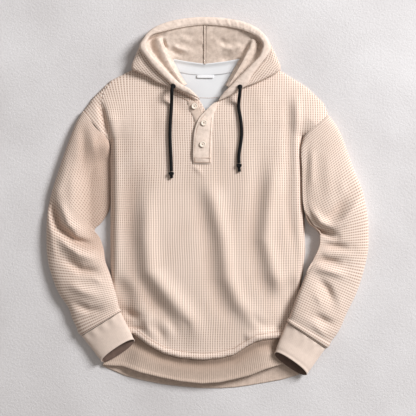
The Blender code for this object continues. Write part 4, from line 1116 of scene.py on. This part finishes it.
LINING_CREASES = (      # line, half_width, height
    (((-98, 366), (-95, 350), (-89, 334)), 3.5, -9), (((-90, 340), (-70, 330), (-48, 324)), 6, -7),
    (((-84, 354), (-64, 340), (-38, 334)), 5, 4), (((-60, 372), (-40, 366), (-20, 368)), 6, -2.5),
    (((-76, 322), (-62, 312), (-44, 312)), 5, -3), (((96, 358), (84, 336), (68, 316)), 5, -8),
    (((30, 342), (54, 338), (82, 352)), 6, 5), (((16, 360), (40, 352), (66, 360)), 7, -5),
    (((20, 322), (40, 318), (60, 328)), 6, -5))
lining_finish = jersey("lining_jersey", (0.77, 0.635, 0.54), (0.62, 0.485, 0.395), 0.0, 0.62)


def lining(name, table, columns=44):
    """One lining half: rows round the opening, each from the casing over the pleat down to the neck."""
    rows, at = rows_by_length(table, 2.2, (0, 2))
    places = np.zeros((len(rows), columns, 3))
    for i, line in enumerate(rows):
        edge, crest, foot = line[0:2], line[2:4], line[4:6]
        edge_z, valley_z, crest_z, slope_z = line[6:]
        profile = np.array([(*edge, edge_z), (*blend(edge, crest, 0.3), valley_z),
                            (*blend(edge, crest, 0.7), blend(valley_z, crest_z, 0.75)), (*crest, crest_z),
                            (*blend(crest, foot, 0.25), blend(crest_z, slope_z, 0.7)),
                            (*blend(crest, foot, 0.55), slope_z),
                            (*blend(crest, foot, 0.8), blend(slope_z, LINING_FOOT, 0.6)),
                            (*foot, LINING_FOOT)])
        places[i] = soften(even_steps(profile, columns), 5)
    x, y = places[:, :, 0], places[:, :, 1]
    inner = np.sin(math.pi * np.linspace(0.0, 1.0, columns)) ** 0.5
    ripple = 0.5 * np.sin(x * 0.21 + 1.7 * np.sin(y * 0.09)) * np.sin(y * 0.17 + 0.8)
    places[:, :, 2] += (ripple + creased(x, y, LINING_CREASES)) * inner
    mesh = cloth_mesh(name, places, on_cloth(np.linspace(0.0, 95.0, columns), at))
    weld(mesh)
    face_up(mesh)
    return mesh


for name, table in (("left", LINING_LEFT), ("right", LINING_RIGHT)):
    inner = finish_piece("lining_" + name + "_cloth", lining("lining_" + name, table), lining_finish,
                         "hood_lining_" + name)
    thicken(inner, 1.3)


SEAM_LINE = ((-6, 388, 29.2), (-6, 378, 26.8), (-6, 366, 23.2), (-6, 356, 21.0), (-6, 340, 16.2),
             (-6, 325, 13.4), (-6, 312, 10.0), (-6, 306, 8.6))
SEAM_TAPE = 4.6         # width of the tape along it


def seam_tape():
    """A narrow tape along the centre seam, domed 1.2 mm across its width."""
    line = soften(even_steps(SEAM_LINE, 50), 4)
    ahead = np.gradient(line, axis=0)[:, :2]
    ahead /= np.linalg.norm(ahead, axis=1, keepdims=True)
    side = np.stack([-ahead[:, 1], ahead[:, 0]], axis=1)
    across = np.linspace(-0.5, 0.5, 7)
    places = np.zeros((len(line), len(across), 3))
    places[:, :, :2] = line[:, None, :2] + side[:, None, :] * (across * SEAM_TAPE)[None, :, None]
    places[:, :, 2] = line[:, None, 2] + 1.2 * np.cos(math.pi * across)[None, :]
    mesh = cloth_mesh("hood_seam_tape", places, on_cloth(across * SEAM_TAPE, np.arange(len(line)) * 2.0))
    face_up(mesh)
    return mesh


thicken(finish_piece("hood_seam_tape", seam_tape(), lining_finish), 0.5)

# ---------------------------------------------------------------------------------------------
# Back neck.  A white facing inside the back neck with a white tape over its seam, and a blank
# label at the tape's low edge.
FACING = ((-80, 293), (-60, 248), (-36, 214), (-4, 176), (30, 214), (56, 248), (78, 293), (36, 287),
          (-4, 284), (-44, 287))
TAPE_TOP = ((-88, 317.5), (-45, 309.6), (-6, 304.2), (39, 309.6), (84, 317.5))
TAPE_LOW = ((-80, 292), (-42, 284), (-5, 281), (32, 284), (76, 292))
LABEL_LEFT, LABEL_RIGHT, LABEL_LOW, LABEL_HIGH = -23, 15, 276, 282.5

white_finish, tree, shader = new_material("white_knit", 0.9)
yarn = use_group(tree, cotton)
layered(tree, shader, (0.74, 0.74, 0.745), (ramp(tree, yarn["Dye"], 0.0, 0.6, 0.3, 0.7), (0.64, 0.64, 0.65)))
bump(tree, shader, yarn["Fuzz"], 0.4, 0.0004)


def facing_height(x, y):
    """The facing's face: flat on the back, with a few soft waves."""
    return 3.5 + 0.5 * np.sin(np.asarray(x) * 0.055 + 0.6) * np.sin(np.asarray(y) * 0.06 + 0.4)


def neck_facing():
    """The facing, cut from a flat grid."""
    flat = on_cloth(np.arange(-84, 84, 2.0), np.arange(170, 300, 2.0))
    height = facing_height(flat[:, :, 0], flat[:, :, 1])
    mesh = cloth_mesh("neck_facing_cloth", np.concatenate([flat, height[:, :, None]], axis=2), flat)
    trim(mesh, FACING, facing_height)
    return mesh


facing_cloth = finish_piece("neck_facing_cloth", neck_facing(), white_finish, "neck_facing")
thicken(facing_cloth, 1.0)

stitches("stitches_facing", ((-17, 232.5), (4, 231.5), (24, 233)), facing_height, 0.55)


def neck_tape_mesh():
    """The tape, from its high edge, raised to the lining's foot, down to its sewn low edge."""
    high, low = even_steps(TAPE_TOP, 80) + np.array((0.0, 2.6)), even_steps(TAPE_LOW, 80)
    share = np.linspace(0.0, 1.0, 13)
    tape = high[:, None, :] + (low - high)[:, None, :] * share[None, :, None]
    height = 4.6 + 0.35 * np.sin(np.linspace(0, 9, 80))[:, None] * np.sin(math.pi * share)[None, :]
    height = height - 0.3 * hump(share - 1.0, 0.1)[None, :] + 4.2 * hump(share, 0.2)[None, :]
    mesh = cloth_mesh("neck_tape_cloth", np.concatenate([tape, height[:, :, None]], axis=2),
                      on_cloth(share * 24.0, np.linspace(0, 180, 80)))
    face_up(mesh)
    return mesh


neck_tape = finish_piece("neck_tape_cloth", neck_tape_mesh(), white_finish, "neck_tape")
thicken(neck_tape, 0.5)

flat = on_cloth(np.linspace(LABEL_LEFT, LABEL_RIGHT, 25), np.linspace(LABEL_LOW, LABEL_HIGH, 9))
along = climb(flat[:, :, 0], LABEL_LEFT, LABEL_RIGHT)
up = climb(flat[:, :, 1], LABEL_LOW, LABEL_HIGH)
label_height = 6.2 + 0.5 * np.sin(math.pi * along) * (1 - up)
label_mesh = cloth_mesh("neck_label_cloth", np.concatenate([flat, label_height[:, :, None]], axis=2), flat)

label_finish, tree, shader = new_material("woven_label", 0.6)
threads = node(tree, "ShaderNodeTexWave", wave_type="BANDS", bands_direction="Y")
threads.inputs["Scale"].default_value = 900.0
tree.links.new(node(tree, "ShaderNodeTexCoord").outputs["Object"], threads.inputs["Vector"])
two_tones(tree, shader, threads.outputs["Fac"], (0.84, 0.84, 0.845), (0.76, 0.76, 0.77))
neck_label = finish_piece("neck_label_cloth", label_mesh, label_finish, "neck_label")
thicken(neck_label, 0.5)

# ---------------------------------------------------------------------------------------------
# Placket.  Two strips of fine jersey down the neck slit, the left one under the right one, which is
# stitched along both edges and boxed at its foot.
UNDER_PLACKET = (       # left_x, right_x, y
    (-27, 4, 92), (-27, 5, 120), (-28, 2, 150), (-28, -4, 172), (-33, -10, 190), (-39, -11, 200),
    (-44, -16, 212), (-46, -24, 223))
TOP_PLACKET = (         # left_x, right_x, y
    (-32, 10, 85), (-32, 10, 110), (-31, 11, 138), (-27, 12, 165), (-17, 14, 188), (-3, 18, 203),
    (8, 22, 214), (15, 23.5, 220))
UNDER_LIFT = 2.3
TOP_LIFT = 5.0
placket_finish = jersey("placket_jersey", (0.76, 0.63, 0.54), (0.66, 0.53, 0.44), 0.0)
# The under strip: the same jersey coloured darker, painted shade from the casing over it.
under_placket_painted_shade = jersey("placket_under_painted_shade", (0.66, 0.525, 0.435), (0.57, 0.44, 0.355), 0.0)


def placket_strip(name, table, lift, sewn, columns=27):
    """One placket strip, lift mm over the front, its sewn edge and its foot lower."""
    rows, at = rows_by_length(table, 1.6, (0, 1))
    share = np.linspace(0.0, 1.0, columns)
    places = np.zeros((len(rows), columns, 3))
    for i, (left_x, right_x, y) in enumerate(rows):
        places[i, :, 0] = blend(left_x, right_x, share)
        places[i, :, 1] = y
    free = share if sewn == "left" else 1.0 - share
    kept = 1.0 - 0.92 * (1.0 - free) ** 4
    foot = 1.0 - 0.7 * hump(at, 4.0)
    edge = np.minimum(share, 1 - share)[None, :] * (rows[:, 1] - rows[:, 0])[:, None]
    dents = (0.55 * hump(edge - 4.2, 0.8) + 0.9 * hump(edge, 1.0)) * (free > 0.5)
    x, y = places[:, :, 0], places[:, :, 1]
    places[:, :, 2] = draped(x, y) + lift * kept[None, :] * foot[:, None] - 1.6 * (1.0 - free)[None, :] ** 14
    places[:, :, 2] += 0.35 * np.sin(y * 0.16 + x * 0.1) - dents
    mesh = cloth_mesh(name, places, on_cloth(share * 42.0, at))
    face_up(mesh)
    return mesh


under_mesh = placket_strip("placket_under", UNDER_PLACKET, UNDER_LIFT, "left")
under = finish_piece("placket_under_cloth", under_mesh, under_placket_painted_shade, "placket_under")
thicken(under, 1.2)
top_mesh = placket_strip("placket_top", TOP_PLACKET, TOP_LIFT, "right")
top = finish_piece("placket_top_cloth", top_mesh, placket_finish, "placket_top")
thicken(top, 1.5)


def on_top_placket(x, y):
    """Height of the top placket's face near its edges and foot."""
    lift = np.interp(x, (-32, -10, 3, 10), (4.4, 4.9, 3.8, 1.6))
    return draped(x, y) + lift * np.clip((y - 82) / 12, 0.4, 1.0)


stitches("stitches_placket_left",
         ((-27.5, 88), (-27.5, 112), (-26.5, 138), (-22.5, 163), (-13, 184), (0, 199.5)), on_top_placket)
stitches("stitches_placket_right",
         ((5.5, 88), (5.5, 112), (6.5, 138), (7.5, 165), (9.5, 188), (14, 203)), on_top_placket)
for row, y in (("high", 98.0), ("low", 88.5)):
    stitches("stitches_placket_foot_" + row, ((-30, y), (8, y)), on_top_placket, 0.6)

# ---------------------------------------------------------------------------------------------
# Buttons.  Plain four-hole plastic buttons in the cloth's colour, with a raised rim, sewn with a
# cross of thread.
BUTTONS = (             # name, x, y, lift of the placket under it
    ("button_top", -28, 212, UNDER_LIFT), ("button_middle", -7, 175, TOP_LIFT),
    ("button_low", -10, 128, TOP_LIFT))
BUTTON_RADIUS = 6.7
BUTTON_THICKNESS = 2.4
BUTTON_PROFILE = (      # share of the radius, share of the thickness
    (0.60, 0.62), (0.68, 0.90), (0.78, 1.0), (0.92, 0.95), (1.0, 0.6), (0.97, 0.25), (0.85, 0.02))
DISH_RADIUS = 2.9       # of the flat middle that holds the holes
DISH_HEIGHT = 0.60      # its share of the thickness
HOLE_RADIUS = 0.62
HOLE_PLACE = 1.45       # from the middle to each hole's own middle

button_finish, tree, shader = new_material("button_plastic", 0.38)
shader.inputs["Coat Weight"].default_value = 0.15
two_tones(tree, shader, noise(tree, 260.0), (0.86, 0.765, 0.66), (0.80, 0.68, 0.57))


def on_circle(radius, turns):
    """The (x, y) of these turns, in radians, round a circle."""
    return [(radius * math.cos(turn), radius * math.sin(turn)) for turn in turns]


def ring_edges(shape, ring):
    """The edges of a closed ring of corners, made where they are missing."""
    return [shape.edges.get(pair) or shape.edges.new(pair) for pair in zip(ring, ring[1:] + ring[:1])]


def button_mesh(name):
    """A turned button with four holes through its dished middle."""
    profile = [(DISH_RADIUS, DISH_HEIGHT * BUTTON_THICKNESS)]
    profile += [(r * BUTTON_RADIUS, z * BUTTON_THICKNESS) for r, z in BUTTON_PROFILE] + [(DISH_RADIUS, 0.0)]
    shape = bmesh.new()
    ring = [shape.verts.new((r * MM, 0.0, z * MM)) for r, z in profile]
    edges = [shape.edges.new(pair) for pair in zip(ring, ring[1:])]
    bmesh.ops.spin(shape, geom=ring + edges, cent=(0, 0, 0), axis=(0, 0, 1), angle=2 * math.pi, steps=40,
                   use_merge=True, use_duplicate=False)
    bmesh.ops.remove_doubles(shape, verts=shape.verts, dist=0.00001)
    levels = []
    for height in (DISH_HEIGHT * BUTTON_THICKNESS * MM, 0.0):
        rim = [vert for vert in shape.verts if abs(vert.co.z - height) < 1e-6
               and abs(vert.co.xy.length - DISH_RADIUS * MM) < 1e-6]
        rim.sort(key=lambda vert: math.atan2(vert.co.y, vert.co.x))
        holes = []
        for cx, cy in on_circle(HOLE_PLACE, math.pi / 4 + np.arange(4) * math.pi / 2):
            holes.append([shape.verts.new(((cx + dx) * MM, (cy + dy) * MM, height))
                          for dx, dy in on_circle(HOLE_RADIUS, np.linspace(0, 2 * math.pi, 9)[:-1])])
        loops = sum([ring_edges(shape, ring) for ring in [rim] + holes], [])
        bmesh.ops.triangle_fill(shape, edges=loops, use_beauty=True, use_dissolve=False)
        for face in [face for face in shape.faces if len(face.verts) == 3]:
            if any(all(vert in hole for vert in face.verts) for hole in holes):
                shape.faces.remove(face)
        levels.append(holes)
    for high_ring, low_ring in zip(*levels):
        next_high, next_low = high_ring[1:] + high_ring[:1], low_ring[1:] + low_ring[:1]
        for corners in zip(high_ring, next_high, next_low, low_ring):
            shape.faces.new(corners)
    bmesh.ops.recalc_face_normals(shape, faces=shape.faces)
    mesh = bpy.data.meshes.new(name)
    shape.to_mesh(mesh)
    shape.free()
    mesh.shade_smooth()
    mesh.set_sharp_from_angle(angle=math.radians(35))
    return mesh


for name, x, y, lift in BUTTONS:
    reach = np.array((-BUTTON_RADIUS, 0, BUTTON_RADIUS))
    seat = float(front_height(*np.meshgrid(x + reach, y + reach)).max()) + lift + 0.7
    mesh = button_mesh(name)
    mesh.transform(Matrix.Translation(Vector((x, y, seat)) * MM))
    finish_piece(name + "_turned", mesh, button_finish, name, smooth=False)
    top_z = seat + 0.62 * BUTTON_THICKNESS
    for k, (dx, dy) in enumerate(on_circle(HOLE_PLACE, (math.pi / 4, 3 * math.pi / 4))):
        over = top_z + 0.25 + k * 0.25
        stitch = [(x + way * dx, y + way * dy, z) for way, z in
                  ((-1.0, top_z - 0.9), (-0.8, over), (0.8, over), (1.0, top_z - 0.9))]
        mesh = round_line(name + "_thread", soften(even_steps(stitch, 12), 2), 0.36, around=8)
        finish_piece(name + "_thread_" + str(k + 1), mesh, thread_finish)

# ---------------------------------------------------------------------------------------------
# Eyelets.  Round eyelets of close black stitches at the casing's two ends, where the cord comes
# out of it.
EYELETS = (             # name, x, y, z, and the way its hole faces
    ("eyelet_left", -74.4, 255.4, 32.3, (-0.29, -0.58, 0.76)),
    ("eyelet_right", 71.3, 253.4, 34.1, (0.10, -0.55, 0.83)))
EYELET_RADIUS = 4.9
EYELET_STITCHES = 36

eyelet_finish, tree, shader = new_material("eyelet_thread", 0.7)
two_tones(tree, shader, noise(tree, 1400.0), (0.012, 0.012, 0.013), (0.035, 0.034, 0.036))

for name, x, y, z, facing in EYELETS:
    hole_way = np.array(facing) / np.linalg.norm(facing)
    side = np.cross(hole_way, (0.0, 0.0, 1.0))
    side /= np.linalg.norm(side)
    up = np.cross(side, hole_way)
    turn = np.linspace(0.0, 2 * math.pi, 145)
    reach = EYELET_RADIUS + 0.16 * np.cos(turn * EYELET_STITCHES)
    ring = np.array((x, y, z)) + np.outer(reach * np.cos(turn), side) + np.outer(reach * np.sin(turn), up)
    mesh = round_line(name, ring, 0.95, around=10)
    finish_piece(name + "_stitched", mesh, eyelet_finish, name)
